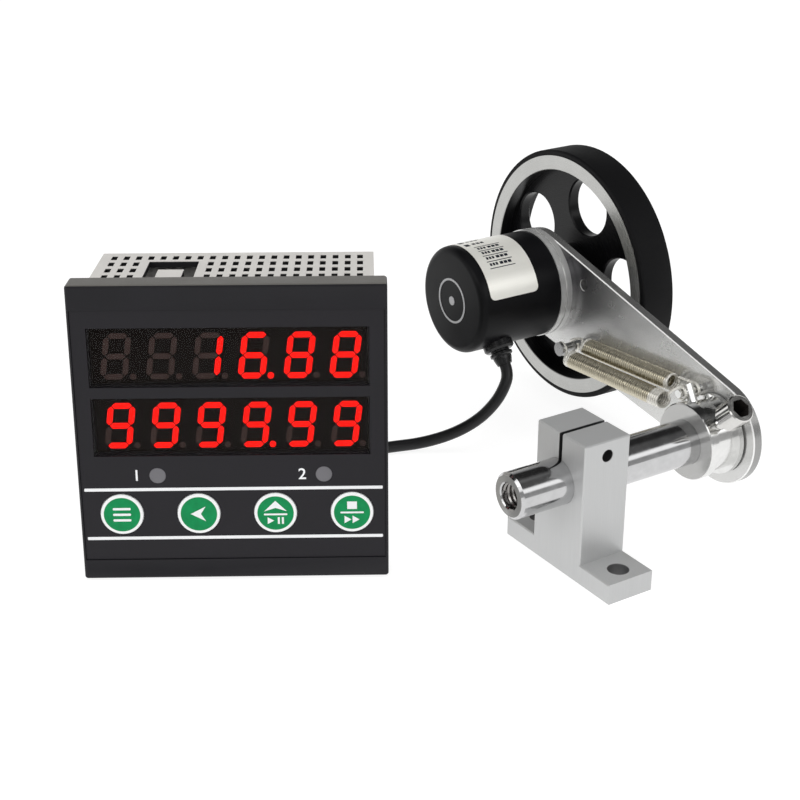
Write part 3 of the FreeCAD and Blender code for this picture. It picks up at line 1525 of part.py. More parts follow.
def wheelTyre():
    inner, outer = rimOuter + size.tyre_gap, size.wheel_diameter / 2
    start, end = size.wheel_start + size.tyre_inset, wheelEnd - size.tyre_inset
    body = turned("wheel_tyre", encoderFrame, [(inner, start), (outer, start), (outer, end), (inner, end)])
    dress(body, "Fillet", size.tyre_edge_round,
          lambda edge: edge.Curve.TypeId == "Part::GeomCircle" and abs(edge.Curve.Radius - outer) < closeTo)


def wheelScrew():
    radius = size.wheel_screw_diameter / 2
    start = shaftSmall + size.part_gap
    end = size.wheel_boss_diameter / 2 - size.wheel_screw_sunk
    turned("wheel_set_screw", encoderFrame * radial(0, size.wheel_screw_along, 0), [
        (0, start), (radius, start), (radius, end), (0, end)])


# Wound and soft forms: tubes swept along arcs

flatTo = 1e-8
sweepErrorShare = 0.02
stepShare = 1e-4
arcsPerTurn = 4
skippedDiameters = 4


def arcTo(start, heading, end):
    # The arc, or line, that leaves start along heading and ends at end
    chord = end - start
    across = heading - chord * (heading.dot(chord) / chord.dot(chord))
    if across.Length < flatTo:
        return Part.LineSegment(start, end).toShape()
    bend = heading.getAngle(chord)
    across.normalize()
    middle = start + chord * 0.5 + across * (chord.Length / 2 * math.tan(bend / 2))
    return Part.Arc(start, middle, end).toShape()


def biarc(start, heading, end, arrival):
    # Two arcs that join smoothly, from one point and direction to another
    span = end - start
    both = heading + arrival
    spread = 2 * (1 - heading.dot(arrival))
    along = span.dot(both)
    if spread < flatTo:
        reach = span.dot(span) / (2 * along)
    else:
        reach = (-along + math.sqrt(along * along + spread * span.dot(span))) / spread
    middle = (start + end + (heading - arrival) * reach) * 0.5
    first = arcTo(start, heading, middle)
    back = arcTo(end, -arrival, middle)
    return [first, back]


def sweep(edges, start, heading, radius):
    path = Part.Wire(edges)
    profile = Part.Wire([Part.Circle(start, heading, radius).toShape()])
    tube = path.makePipeShell([profile], True, False)
    expected = math.pi * radius * radius * path.Length
    if not tube.isValid() or abs(tube.Volume - expected) > expected * sweepErrorShare:
        raise ValueError(f"tube volume {tube.Volume:.3f}, expected {expected:.3f}")
    return tube, path


def leastGap(points, lengths, skip, radius):
    # The least distance between parts of one tube further apart along it than skip
    least = math.inf
    for i, point in enumerate(points):
        for j in range(i + 1, len(points)):
            if lengths[j] - lengths[i] > skip:
                least = min(least, point.distanceToPoint(points[j]))
    return least - 2 * radius


def samplePath(path, step):
    count = max(2, int(path.Length / step))
    points = path.discretize(Number=count)
    return points, [path.Length * i / (count - 1) for i in range(count)]


def tangentPoint(origin, centre, radius, side):
    # Where the line from origin touches the circle, on the side asked for
    gap = centre - origin
    turn = math.asin(radius / gap.Length) * side
    reach = math.sqrt(gap.Length * gap.Length - radius * radius)
    heading = Rotation(Vector(0, 0, 1), math.degrees(turn)).multVec(gap)
    heading.normalize()
    return origin + heading * reach, heading


def hookEdges(eye, base, side):
    # From the last curl's end to the pin, and round it
    touch, heading = tangentPoint(base, eye, size.hook_radius, side)
    spin = size.hook_turn * -side
    middle = Rotation(Vector(0, 0, 1), spin / 2).multVec(touch - eye) + eye
    tip = Rotation(Vector(0, 0, 1), spin).multVec(touch - eye) + eye
    edges = [Part.LineSegment(base, touch).toShape(), Part.Arc(touch, middle, tip).toShape()]
    return heading, edges, tip, spin


def extensionSpring(label, atPost, atPin, along):
    # Coils between two hooks, in the arm's frame; both ends are measured from their pins
    turn = math.radians(size.anchor_angle - size.arm_angle)
    pinEye = Vector(size.anchor_pin_radius * math.cos(turn), size.anchor_pin_radius * math.sin(turn), along)
    postEye = Vector(size.post_along, postDrop, along)
    left, right = postEye + Vector(*atPost, 0), pinEye + Vector(*atPin, 0)
    axis = right - left
    long = axis.Length
    axis.normalize()
    side = Vector(0, 0, 1)
    over = side.cross(axis)
    radius = (size.spring_outer - size.spring_wire) / 2
    turns = size.spring_curls - 0.5
    pitch = long / turns

    def curlAt(share):
        spin = 2 * math.pi * share
        out = over * math.sin(spin) - side * math.cos(spin)
        heading = over * math.cos(spin) * radius + side * math.sin(spin) * radius
        heading = heading * (2 * math.pi) + axis * pitch
        heading.normalize()
        return left + axis * (pitch * share) + out * radius, heading

    leftBase = left - axis * size.hook_run - over * radius
    rightBase = right + axis * size.hook_run - over * radius
    leftHeading, leftHook, leftTip, leftSpin = hookEdges(postEye, leftBase, 1)
    rightHeading, rightHook, rightTip, rightSpin = hookEdges(pinEye, rightBase, -1)
    firstPoint, firstHeading = curlAt(0)
    edges = [leftHook[1], leftHook[0]] + biarc(leftBase, -leftHeading, firstPoint, firstHeading)
    steps = int(round(turns * 2))
    for i in range(steps):
        startPoint, startHeading = curlAt(i / 2)
        endPoint, endHeading = curlAt((i + 1) / 2)
        edges += biarc(startPoint, startHeading, endPoint, endHeading)
    lastPoint, lastHeading = curlAt(steps / 2)
    edges += biarc(lastPoint, lastHeading, rightBase, rightHeading) + rightHook
    path = Part.Wire(Part.__sortEdges__(edges))
    tipOut = leftTip - postEye
    heading = side.cross(tipOut) * (-1 if leftSpin > 0 else 1)
    heading.normalize()
    tube, path = sweep(path.Edges, leftTip, heading, size.spring_wire / 2)
    points, lengths = samplePath(path, radius / 2)
    gap = leastGap(points, lengths, 2 * radius, size.spring_wire / 2)
    print(f"{label}: {int(size.spring_curls)} curls, wire {path.Length:.1f} mm, least gap {gap:.2f} mm")
    formed(label, tube, armFrame)


def springs():
    extensionSpring("front_spring", (size.front_spring_post_x, size.front_spring_post_y),
                    (size.front_spring_pin_x, size.front_spring_pin_y), size.front_spring_along)
    extensionSpring("rear_spring", (size.rear_spring_post_x, size.rear_spring_post_y),
                    (size.rear_spring_pin_x, size.rear_spring_pin_y), size.rear_spring_along)


# Encoder lead: a free stretch, the coil of spare length and the tail to the terminals

leadRadius = size.lead_diameter / 2
leadLow = leadRadius + size.lead_lift
bootTip = bootFrame.multVec(Vector(0, 0, bootEnd))
bootHeading = bootFrame.Rotation.multVec(Vector(0, 0, 1))

# The route from the boot to the coil, chosen by hand
leadRoute = [
    (22.7, 8.7, 19.6),
    (20.2, 7.7, 15.4),
    (15.5, 7.5, 10.2),
    (8.2, 7.7, 5.6),
    (-1.0, 8.0, 2.5),
    (-9.5, 7.3, 1.75),
    (-16.8, 4.7, 1.75),
    (-25.9, 1.5, 1.75),
    (-40.1, -0.7, 1.75),
]


bendShare = 0.45


def bentTube(points, radius, name):
    # Straight runs joined by arcs that touch them, each arc as large as its runs allow
    points = [Vector(*p) for p in points]
    runs = [points[i + 1] - points[i] for i in range(len(points) - 1)]
    edges, radii = [], []
    last = points[0]
    for i in range(1, len(points) - 1):
        before, after = runs[i - 1], runs[i]
        turn = before.getAngle(after)
        reach = bendShare * min(before.Length, after.Length)
        radii.append(reach / math.tan(turn / 2))
        heading = Vector(before).normalize()
        start = points[i] - heading * reach
        end = points[i] + Vector(after).normalize() * reach
        edges.append(Part.LineSegment(last, start).toShape())
        edges.append(arcTo(start, heading, end))
        last = end
    edges.append(Part.LineSegment(last, points[-1]).toShape())
    tube, path = sweep(edges, points[0], runs[0], radius)
    print(f"{name}: length {path.Length:.1f} mm, radii", " ".join(f"{r:.1f}" for r in radii))
    return tube, path.Length


climbShare = 0.5


def coilPoint(share):
    # Clockwise turns: in along the floor, up a layer in half a turn, and out again
    layer = size.coil_layer_turns
    inward = min(share, 2 * layer + climbShare - share)
    rise = min(max((share - layer) / climbShare, 0), 1)
    radius = size.coil_outer_radius - size.coil_turn_pitch * inward
    turn = -math.pi / 2 - 2 * math.pi * share
    centre = Vector(size.coil_centre_x, size.coil_centre_y, leadLow + size.coil_layer_pitch * rise)
    return centre + Vector(math.cos(turn), math.sin(turn), 0) * radius


def coilHeading(share, total):
    low, high = max(0, share - stepShare), min(total, share + stepShare)
    heading = coilPoint(high) - coilPoint(low)
    return heading.normalize()


def leadCoil():
    total = 2 * size.coil_layer_turns + climbShare
    steps = int(round(total * arcsPerTurn))
    shares = [total * i / steps for i in range(steps + 1)]
    headings = [coilHeading(share, total) for share in shares]
    headings[0] = Vector(-1, 0, 0)
    headings[-1] = Vector(0, -1, 0)
    points = [coilPoint(share) for share in shares]
    start = points[0] - headings[0] * size.lead_diameter
    end = points[-1] + headings[-1] * size.lead_diameter
    edges = [Part.LineSegment(start, points[0]).toShape()]
    for i in range(steps):
        edges += biarc(points[i], headings[i], points[i + 1], headings[i + 1])
    edges.append(Part.LineSegment(points[-1], end).toShape())
    path = Part.Wire(Part.__sortEdges__(edges))
    tube, path = sweep(path.Edges, start, headings[0], leadRadius)
    samples, lengths = samplePath(path, size.lead_diameter / 2)
    gap = leastGap(samples, lengths, skippedDiameters * size.lead_diameter, leadRadius)
    print(f"lead_coil: length {path.Length:.1f} mm, {total:.2f} turns, least gap {gap:.2f} mm")
    formed("lead_coil", tube)
    return start, end, path.Length


tailRunShare = 0.33


def encoderLead():
    start, end, coiled = leadCoil()
    front = [bootTip, bootTip + bootHeading * size.lead_exit_run] + leadRoute + [start]
    tube, frontLength = bentTube(front, leadRadius, "encoder_lead")
    formed("encoder_lead", tube)
    entry = faceFrame.multVec(Vector(terminalXs()[int(size.lead_terminal)],
                                     size.terminal_low_up, -(coverBack + size.terminal_depth)))
    outward = faceFrame.Rotation.multVec(Vector(0, 0, -1))
    stop = entry + outward * size.lead_end_gap
    run = stop.distanceToPoint(end) * tailRunShare
    tail = [end, end + Vector(0, -run, 0), stop + outward * run, stop]
    tube, tailLength = bentTube(tail, leadRadius, "lead_tail")
    formed("lead_tail", tube)
    inAll = frontLength + coiled + tailLength
    print(f"lead in all {inAll:.1f} mm, coil from", start, "to", end, "stop", stop)
    return stop, entry, outward


def leadCores(stop, entry, outward):
    # The lead's own wires, from a ring in the sheath's end into the terminal entries
    right = faceFrame.Rotation.multVec(Vector(1, 0, 0))
    up = faceFrame.Rotation.multVec(Vector(0, 1, 0))
    rise = up * (size.terminal_height / 2 * entryShare)
    count = int(size.core_count)
    cores = []
    for i in range(count):
        place = i - (count - 1) / 2
        turn = math.pi / 2 - 2 * math.pi * place / count
        begin = stop + (right * math.cos(turn) + up * math.sin(turn)) * size.core_ring_radius
        finish = entry + right * (size.terminal_pitch * place) + rise - outward * size.terminal_entry_depth
        points = [begin, begin - outward * size.core_straight,
                  finish + outward * (size.terminal_entry_depth + size.core_straight), finish]
        cores.append(bentTube(points, size.core_diameter / 2, f"core {i + 1}")[0])
    formed("lead_cores", Part.makeCompound(cores))


for build in (bezelFrame, facePanel, windows, digitModules, digitSegments, alarmLights, displayBoard,
              keySwitches, keys, housing, rearCover, terminalBlocks, terminalScrews, mainBoard, boardParts,
              supportBlock, clampScrew, supportShaft, pivotHub, hubLockScrew, springAnchor, armPlate,
              pivotBush, retainer, springPost, encoderFlange, faceScrews, encoderShell, capMark,
              encoderLabel, leadBoot, encoderInside, bearings, encoderShaft, codeDisc, wheelDisc,
              wheelTyre, wheelScrew, springs):
    build()
leadCores(*encoderLead())
document.recompute()

# Check every object, then write one file for each piece

for thing in document.Objects:
    if "Invalid" in thing.State or "Error" in thing.State:
        raise ValueError(f"{thing.Label} failed: {thing.State}")
os.makedirs("parts", exist_ok=True)
whole = FreeCAD.BoundBox()
for node in nodes:
    shape = node.Shape
    if shape.isNull() or not shape.isValid() or not shape.Solids:
        raise ValueError(f"{node.Label} has no valid solid")
    whole.add(shape.BoundBox)
    shape.exportStep(f"parts/{node.Label}.step")
print(len(nodes), "pieces, box", whole)
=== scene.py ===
import math

import bmesh
import bpy
from mathutils import Matrix, Vector


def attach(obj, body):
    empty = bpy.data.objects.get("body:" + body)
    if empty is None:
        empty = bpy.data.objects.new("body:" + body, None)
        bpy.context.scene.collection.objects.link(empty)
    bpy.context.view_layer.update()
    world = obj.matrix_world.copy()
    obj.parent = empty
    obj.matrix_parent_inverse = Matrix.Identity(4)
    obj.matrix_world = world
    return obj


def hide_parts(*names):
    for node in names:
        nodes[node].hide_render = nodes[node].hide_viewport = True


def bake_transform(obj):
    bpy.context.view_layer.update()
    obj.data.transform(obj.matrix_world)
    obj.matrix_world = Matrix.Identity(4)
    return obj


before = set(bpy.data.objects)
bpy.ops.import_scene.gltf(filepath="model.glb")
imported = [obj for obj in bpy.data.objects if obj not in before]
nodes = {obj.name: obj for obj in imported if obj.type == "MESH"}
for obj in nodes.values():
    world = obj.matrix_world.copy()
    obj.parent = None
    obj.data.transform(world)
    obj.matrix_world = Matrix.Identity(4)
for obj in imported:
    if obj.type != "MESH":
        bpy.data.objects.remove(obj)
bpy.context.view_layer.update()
mm = 0.001
root = "counter_and_bracket"
print("frame loaded:", len(nodes), "nodes")

# Where the counter's face, the rod, the arm and the encoder are; the sizes are the part's own, in mm

counter = {
    "x": -47.95, "y": -64.7, "turn": 1.3, "width": 76.0, "bezelDepth": 7.0, "housingWidth": 70.0,
    "housingDepth": 35.0, "panelRecess": 0.3,
}
bracket = {
    "x": 38.15, "y": -55.4, "turn": 32.4, "rodUp": 25.0, "armAngle": 12.9, "armLength": 80.5,
    "rodFront": 22.5,
}


def turn(axis, degrees):
    return Matrix.Rotation(math.radians(degrees), 4, axis)


def move(x=0.0, y=0.0, z=0.0):
    return Matrix.Translation((x * mm, y * mm, z * mm))


tilt = math.degrees(math.atan2(counter["width"] - counter["housingWidth"], 2 * counter["housingDepth"]))
faceFrame = (move(counter["x"], counter["y"], counter["bezelDepth"] * math.sin(math.radians(tilt)))
             @ turn("Z", counter["turn"]) @ turn("X", 90 - tilt))
rodFrame = (move(bracket["x"], bracket["y"], bracket["rodUp"]) @ turn("Z", bracket["turn"])
            @ turn(Vector((1, 1, 1)), 120))
armFrame = rodFrame @ turn("Z", bracket["armAngle"])
encoderFrame = armFrame @ move(bracket["armLength"])

# Camera, light and floor

studio = {
    "cameraAt": (-7.15, -411.2, 207.4), "pitch": 24.5, "lens": 72.0, "sensor": 36.0, "nearClip": 0.01,
    "floorSize": 60.0, "floorDrop": 0.02, "floorColour": (0.25, 0.25, 0.25), "floorRough": 0.9,
    "floorShine": 0.1, "floorGlow": 0.88,
    "worldStrength": 0.85, "acrossRod": (0.536, -0.844, 0.0), "skyBlend": 0.12,
    # Brightness by height, in front of the rod and behind it
    "frontSky": ((0.0, 0.52), (0.30, 0.42), (0.38, 1.75), (0.54, 1.75), (0.62, 0.14), (0.80, 0.12),
                 (0.92, 0.50), (1.0, 0.50)),
    "backSky": ((0.0, 1.0), (0.22, 0.8), (0.50, 0.45), (0.62, 0.03), (0.84, 0.03), (0.93, 0.34), (1.0, 0.50)),
    # Place, target, size, power, and whether it shows in shiny faces
    "softboxes": {
        "softboxTop": ((-0.15, -0.10, 0.95), (0, 0, 0.03), (1.1, 0.9), 5.0, False),
        "softboxLeft": ((-0.85, -0.55, 0.55), (0, 0, 0.04), (0.5, 0.7), 2.0, True),
        "softboxRight": ((0.75, -0.75, 0.65), (0.02, 0, 0.03), (0.35, 0.6), 1.2, True),
    },
}


def addCamera():
    data = bpy.data.cameras.new("photoCamera")
    data.lens = studio["lens"]
    data.sensor_width = studio["sensor"]
    data.clip_start = studio["nearClip"]
    camera = bpy.data.objects.new("photoCamera", data)
    bpy.context.scene.collection.objects.link(camera)
    camera.location = [value * mm for value in studio["cameraAt"]]
    camera.rotation_euler = (math.radians(90 - studio["pitch"]), 0, 0)
    bpy.context.scene.camera = camera


def addSoftbox(name, place, target, size, power, mirrored):
    data = bpy.data.lights.new(name, "AREA")
    data.shape = "RECTANGLE"
    data.size, data.size_y = size
    data.energy = power
    light = bpy.data.objects.new(name, data)
    bpy.context.scene.collection.objects.link(light)
    light.location = place
    light.rotation_euler = (Vector(target) - Vector(place)).to_track_quat("-Z", "Y").to_euler()
    light.visible_glossy = mirrored


def node(tree, kind, inputs=None, **settings):
    made = tree.nodes.new("ShaderNode" + kind)
    for key, value in settings.items():
        setattr(made, key, value)
    for key, value in (inputs or {}).items():
        if isinstance(value, bpy.types.NodeSocket):
            tree.links.new(value, made.inputs[key])
        else:
            made.inputs[key].default_value = value
    return made


def addSky(tree, height, stops):
    ramp = node(tree, "ValToRGB", {0: height})
    elements = ramp.color_ramp.elements
    for index, (place, bright) in enumerate(stops):
        spot = elements[index] if index < 2 else elements.new(place)
        spot.position = place
        spot.color = (bright, bright, bright, 1)
    return ramp.outputs[0]


def addWorld():
    # Soft white room: a long strip light in front, dark overhead, a bright wall behind
    world = bpy.data.worlds.new("studioWorld")
    bpy.context.scene.world = world
    world.use_nodes = True
    tree = world.node_tree
    tree.nodes.clear()
    way = node(tree, "TexCoord").outputs["Generated"]
    height = node(tree, "SeparateXYZ", {0: way}).outputs["Z"]
    across = node(tree, "VectorMath", {0: way, 1: studio["acrossRod"]}, operation="DOT_PRODUCT")
    front = node(tree, "MapRange", {"Value": across.outputs["Value"], "From Min": -studio["skyBlend"],
                                    "From Max": studio["skyBlend"]}).outputs[0]
    sky = node(tree, "Mix", {0: front}, data_type="RGBA")
    tree.links.new(addSky(tree, height, studio["backSky"]), sky.inputs[6])
    tree.links.new(addSky(tree, height, studio["frontSky"]), sky.inputs[7])
    light = node(tree, "Background", {"Color": sky.outputs[2], "Strength": studio["worldStrength"]})
    node(tree, "OutputWorld", {"Surface": light.outputs[0]})


def addFloor():
    mesh = bpy.data.meshes.new("studioFloor")
    work = bmesh.new()
    bmesh.ops.create_grid(work, x_segments=8, y_segments=8, size=studio["floorSize"] / 2)
    bmesh.ops.translate(work, verts=work.verts, vec=(0, 0, -studio["floorDrop"] * mm))
    work.to_mesh(mesh)
    work.free()
    floor = bpy.data.objects.new("studioFloor", mesh)
    bpy.context.scene.collection.objects.link(floor)
    paper = bpy.data.materials.new("studioPaper")
    paper.use_nodes = True
    shader = paper.node_tree.nodes["Principled BSDF"]
    shader.inputs["Base Color"].default_value = (*studio["floorColour"], 1)
    shader.inputs["Roughness"].default_value = studio["floorRough"]
    shader.inputs["Specular IOR Level"].default_value = studio["floorShine"]
    shader.inputs["Emission Color"].default_value = (1, 1, 1, 1)
    shader.inputs["Emission Strength"].default_value = studio["floorGlow"]
    mesh.materials.append(paper)


addCamera()
addWorld()
addFloor()
for name, settings in studio["softboxes"].items():
    addSoftbox(name, *settings)
bpy.context.scene.view_settings.view_transform = "Standard"
print("camera, lights and floor made")

# Finishes

def local(tree, place):
    # Object coordinates in mm, in the frame of the piece that carries the pattern
    back = place.inverted()
    return node(tree, "Mapping", {
        "Vector": node(tree, "TexCoord").outputs["Object"],
        "Location": [value / mm for value in back.translation],
        "Rotation": back.to_euler(),
        "Scale": (1 / mm, 1 / mm, 1 / mm),
    }).outputs[0]


def stretched(tree, vector, scale):
    return node(tree, "VectorMath", {0: vector, 1: scale}, operation="MULTIPLY").outputs[0]


def noise(tree, vector, scale, detail=2.0, rough=0.5):
    made = node(tree, "TexNoise", {"Vector": vector, "Scale": scale, "Detail": detail, "Roughness": rough})
    return made.outputs[0]


def spread(tree, value, low, high, fromLow=0.3, fromHigh=0.7):
    return node(tree, "MapRange", {"Value": value, "From Min": fromLow, "From Max": fromHigh,
                                   "To Min": low, "To Max": high}).outputs[0]


def blendColour(tree, share, first, second):
    made = node(tree, "Mix", {0: share}, data_type="RGBA")
    for index, colour in ((6, first), (7, second)):
        if isinstance(colour, bpy.types.NodeSocket):
            tree.links.new(colour, made.inputs[index])
        else:
            made.inputs[index].default_value = (*colour, 1)
    return made.outputs[2]


def newFinish(name, place):
    material = bpy.data.materials.new(name)
    material.use_nodes = True
    tree = material.node_tree
    return material, tree, tree.nodes["Principled BSDF"], local(tree, place or Matrix.Identity(4))


def setBump(tree, shader, height, depth, under=None):
    inputs = {"Height": height, "Distance": depth * mm, "Strength": 1.0}
    if under is not None:
        inputs["Normal"] = under
    made = node(tree, "Bump", inputs)
    tree.links.new(made.outputs[0], shader.inputs["Normal"])
    return made.outputs[0]


def join(tree, value, shader, name):
    tree.links.new(value, shader.inputs[name])


def paint(tree, shader, share, first, second, name="Base Color"):
    join(tree, blendColour(tree, share, first, second), shader, name)


def shade(colour, share):
    return tuple(value * share for value in colour)


def nearAxis(tree, at, along, centre, radius, soft=0.1):
    # One inside a round hole whose axis runs along X, Y or Z of the frame, else zero
    parts = node(tree, "SeparateXYZ", {0: at}).outputs
    first, second = [parts[name] for name in "XYZ" if name != along]
    flat = node(tree, "CombineXYZ", {0: first, 1: second}).outputs[0]
    gap = node(tree, "VectorMath", {0: flat, 1: (*centre, 0)}, operation="DISTANCE").outputs["Value"]
    return node(tree, "MapRange", {"Value": gap, "From Min": radius - soft, "From Max": radius + soft,
                                   "To Min": 1.0, "To Max": 0.0}).outputs[0]


def both(tree, first, second):
    return node(tree, "Math", {0: first, 1: second}, operation="MULTIPLY").outputs[0]


def either(tree, *shares):
    value = shares[0]
    for other in shares[1:]:
        value = node(tree, "Math", {0: value, 1: other}, operation="MAXIMUM").outputs[0]
    return value


def within(tree, at, axis, low, high, soft=0.05):
    # One between two planes across an axis, else zero
    value = node(tree, "SeparateXYZ", {0: at}).outputs[axis]
    above = node(tree, "MapRange", {"Value": value, "From Min": low - soft,
                                    "From Max": low + soft}).outputs[0]
    below = node(tree, "MapRange", {"Value": value, "From Min": high - soft, "From Max": high + soft,
                                    "To Min": 1.0, "To Max": 0.0}).outputs[0]
    return both(tree, above, below)


def paintLightAndShade(material, place, mask, colour, metallic=None):
    # Sets another colour where the mask, worked out in the piece's frame, is one; here it paints light and
    # shade
    tree = material.node_tree
    shader = tree.nodes["Principled BSDF"]
    at = local(tree, place)
    share = mask(tree, at)
    socket = shader.inputs["Base Color"]
    before = socket.links[0].from_socket if socket.links else tuple(socket.default_value[:3])
    paint(tree, shader, share, before, colour)
    if metallic is not None:
        start = shader.inputs["Metallic"].default_value
        join(tree, node(tree, "MapRange", {"Value": share, "To Min": start, "To Max": metallic}).outputs[0],
             shader, "Metallic")


def fromAxis(tree, at):
    # Distance from the frame's Z axis
    parts = node(tree, "SeparateXYZ", {0: at}).outputs
    flat = node(tree, "CombineXYZ", {0: parts["X"], 1: parts["Y"]}).outputs[0]
    return node(tree, "VectorMath", {0: flat}, operation="LENGTH").outputs["Value"]


def latheLines(tree, at, radius, scale):
    # Fine lines: rings on the ends, circles along the sides
    height = node(tree, "SeparateXYZ", {0: at}).outputs["Z"]
    rings = node(tree, "CombineXYZ", {0: radius, 2: height}).outputs[0]
    return noise(tree, rings, scale, 2.0, 0.6)


# Noise scales per mm, how far roughness moves either way with them, and how far colours do
texture = {
    "mouldedPatch": 0.09, "mouldedRough": (-0.06, 0.07), "coatRough": 0.2,
    "turnedPatch": 0.35, "turnedRough": (-0.04, 0.06), "mixedRange": (0.15, 0.35),
    "brushedLines": 1.6, "brushedPatch": 0.12, "brushedRough": 0.03, "speckScale": 3.5,
    "segmentCloud": 1.4, "segmentDim": 0.85, "segmentBase": 0.5, "segmentRough": 0.6, "segmentShine": 0.05,
    "windowHaze": 0.08, "windowPale": 1.5, "windowRough": (0.10, 0.16), "windowIor": 1.49, "windowShine": 0.3,
    "keyCloud": 0.4, "keyShades": (0.86, 1.08), "keyGrain": 3.0, "keyRough": (0.33, 0.42), "keyDepth": 0.004,
    "keyShine": 0.2, "ringSoft": 0.06,
    "wheelLines": 7.0, "wheelPatch": 0.2, "wheelShades": (0.8, 1.2), "rimDim": 0.93,
    "wheelRough": (0.24, 0.34), "wheelShine": 0.22, "wheelDepth": 0.0015, "wheelSoft": 0.02,
}


def mottle(tree, shader, fine, wide, roughness, change):
    # Roughness that follows the grain and the wide patches together
    low, high = (roughness + value for value in change)
    join(tree, spread(tree, both(tree, fine, wide), low, high, *texture["mixedRange"]), shader, "Roughness")


def moulded(name, colour, roughness, grain=0.35, depth=0.006, patch=0.12, coat=0.0, place=None, gloss=0.5):
    # Moulded plastic or rubber: fine spark-eroded grain, faint patches of gloss and colour
    material, tree, shader, at = newFinish(name, place)
    fine = noise(tree, at, 1 / grain, 3.0, 0.6)
    wide = noise(tree, at, texture["mouldedPatch"], 3.0, 0.55)
    paint(tree, shader, spread(tree, wide, 0, 1), shade(colour, 1 - patch), shade(colour, 1 + patch))
    mottle(tree, shader, fine, wide, roughness, texture["mouldedRough"])
    setBump(tree, shader, fine, depth)
    shader.inputs["Coat Weight"].default_value = coat
    shader.inputs["Coat Roughness"].default_value = texture["coatRough"]
    shader.inputs["Specular IOR Level"].default_value = gloss
    return material


def turnedMetal(name, place, colour, roughness, line=0.14, depth=0.0012, streak=0.10, metallic=1.0):
    # Metal from the lathe
    material, tree, shader, at = newFinish(name, place)
    lines = latheLines(tree, at, fromAxis(tree, at), 1 / line)
    wide = noise(tree, at, texture["turnedPatch"], 3.0, 0.6)
    paint(tree, shader, spread(tree, wide, 0, 1), shade(colour, 1 - streak), colour)
    mottle(tree, shader, lines, wide, roughness, texture["turnedRough"])
    shader.inputs["Metallic"].default_value = metallic
    setBump(tree, shader, lines, depth)
    return material


def brushedMetal(name, place, colour, roughness, stretch, depth, streak, speck=0.0, metallic=1.0):
    # Flat metal with fine lines along one of the frame's axes
    material, tree, shader, at = newFinish(name, place)
    lines = noise(tree, stretched(tree, at, stretch), texture["brushedLines"], 3.0, 0.6)
    wide = noise(tree, at, texture["brushedPatch"], 3.0, 0.6)
    paint(tree, shader, spread(tree, lines, 0, 1), shade(colour, 1 - streak), colour)
    change = texture["brushedRough"]
    join(tree, spread(tree, wide, roughness - change, roughness + change), shader, "Roughness")
    shader.inputs["Metallic"].default_value = metallic
    under = setBump(tree, shader, lines, depth) if depth else None
    if speck:
        setBump(tree, shader, noise(tree, at, texture["speckScale"], 2.0, 0.7), speck, under=under)
    return material


def glowing(name, colour, strength):
    # Lit segment: red plastic with faint clouds in its light
    material, tree, shader, at = newFinish(name, faceFrame)
    cloud = noise(tree, at, texture["segmentCloud"], 1.0)
    paint(tree, shader, spread(tree, cloud, 0, 1), shade(colour, texture["segmentDim"]), colour,
          "Emission Color")
    shader.inputs["Emission Strength"].default_value = strength
    shader.inputs["Base Color"].default_value = (*shade(colour, texture["segmentBase"]), 1)
    shader.inputs["Roughness"].default_value = texture["segmentRough"]
    shader.inputs["Specular IOR Level"].default_value = texture["segmentShine"]
    return material


def smoked(name, colour, alpha):
    # Dark see-through window
    material, tree, shader, at = newFinish(name, faceFrame)
    haze = noise(tree, at, texture["windowHaze"], 2.0)
    paint(tree, shader, spread(tree, haze, 0, 1), colour, shade(colour, texture["windowPale"]))
    join(tree, spread(tree, haze, *texture["windowRough"]), shader, "Roughness")
    shader.inputs["Alpha"].default_value = alpha
    shader.inputs["IOR"].default_value = texture["windowIor"]
    shader.inputs["Specular IOR Level"].default_value = texture["windowShine"]
    return material


def ringedKey(name, place, green, white, rim):
    # Printed key: green face, white ring at its rim
    material, tree, shader, at = newFinish(name, place)
    soft = texture["ringSoft"]
    edge = node(tree, "MapRange", {"Value": fromAxis(tree, at), "From Min": rim - soft,
                                   "From Max": rim + soft}).outputs[0]
    cloud = spread(tree, noise(tree, at, texture["keyCloud"], 3.0), 0, 1)
    face = blendColour(tree, cloud, *(shade(green, share) for share in texture["keyShades"]))
    paint(tree, shader, edge, face, white)
    fine = noise(tree, at, texture["keyGrain"], 3.0, 0.6)
    join(tree, spread(tree, fine, *texture["keyRough"]), shader, "Roughness")
    setBump(tree, shader, fine, texture["keyDepth"])
    shader.inputs["Specular IOR Level"].default_value = texture["keyShine"]
    return material


def wheelMetal(name, place, black, silver, rimInner):
    # Turned and black anodised, with its rim machined bright afterwards
    material, tree, shader, at = newFinish(name, place)
    radius = fromAxis(tree, at)
    soft = texture["wheelSoft"]
    bright = node(tree, "MapRange", {"Value": radius, "From Min": rimInner - soft,
                                     "From Max": rimInner + soft}).outputs[0]
    lines = latheLines(tree, at, radius, texture["wheelLines"])
    wide = spread(tree, noise(tree, at, texture["wheelPatch"], 3.0), 0, 1)
    dark = blendColour(tree, wide, *(shade(black, share) for share in texture["wheelShades"]))
    light = blendColour(tree, wide, shade(silver, texture["rimDim"]), silver)
    paint(tree, shader, bright, dark, light)
    join(tree, bright, shader, "Metallic")
    join(tree, spread(tree, lines, *texture["wheelRough"]), shader, "Roughness")
    shader.inputs["Specular IOR Level"].default_value = texture["wheelShine"]
    setBump(tree, shader, lines, texture["wheelDepth"])
    return material


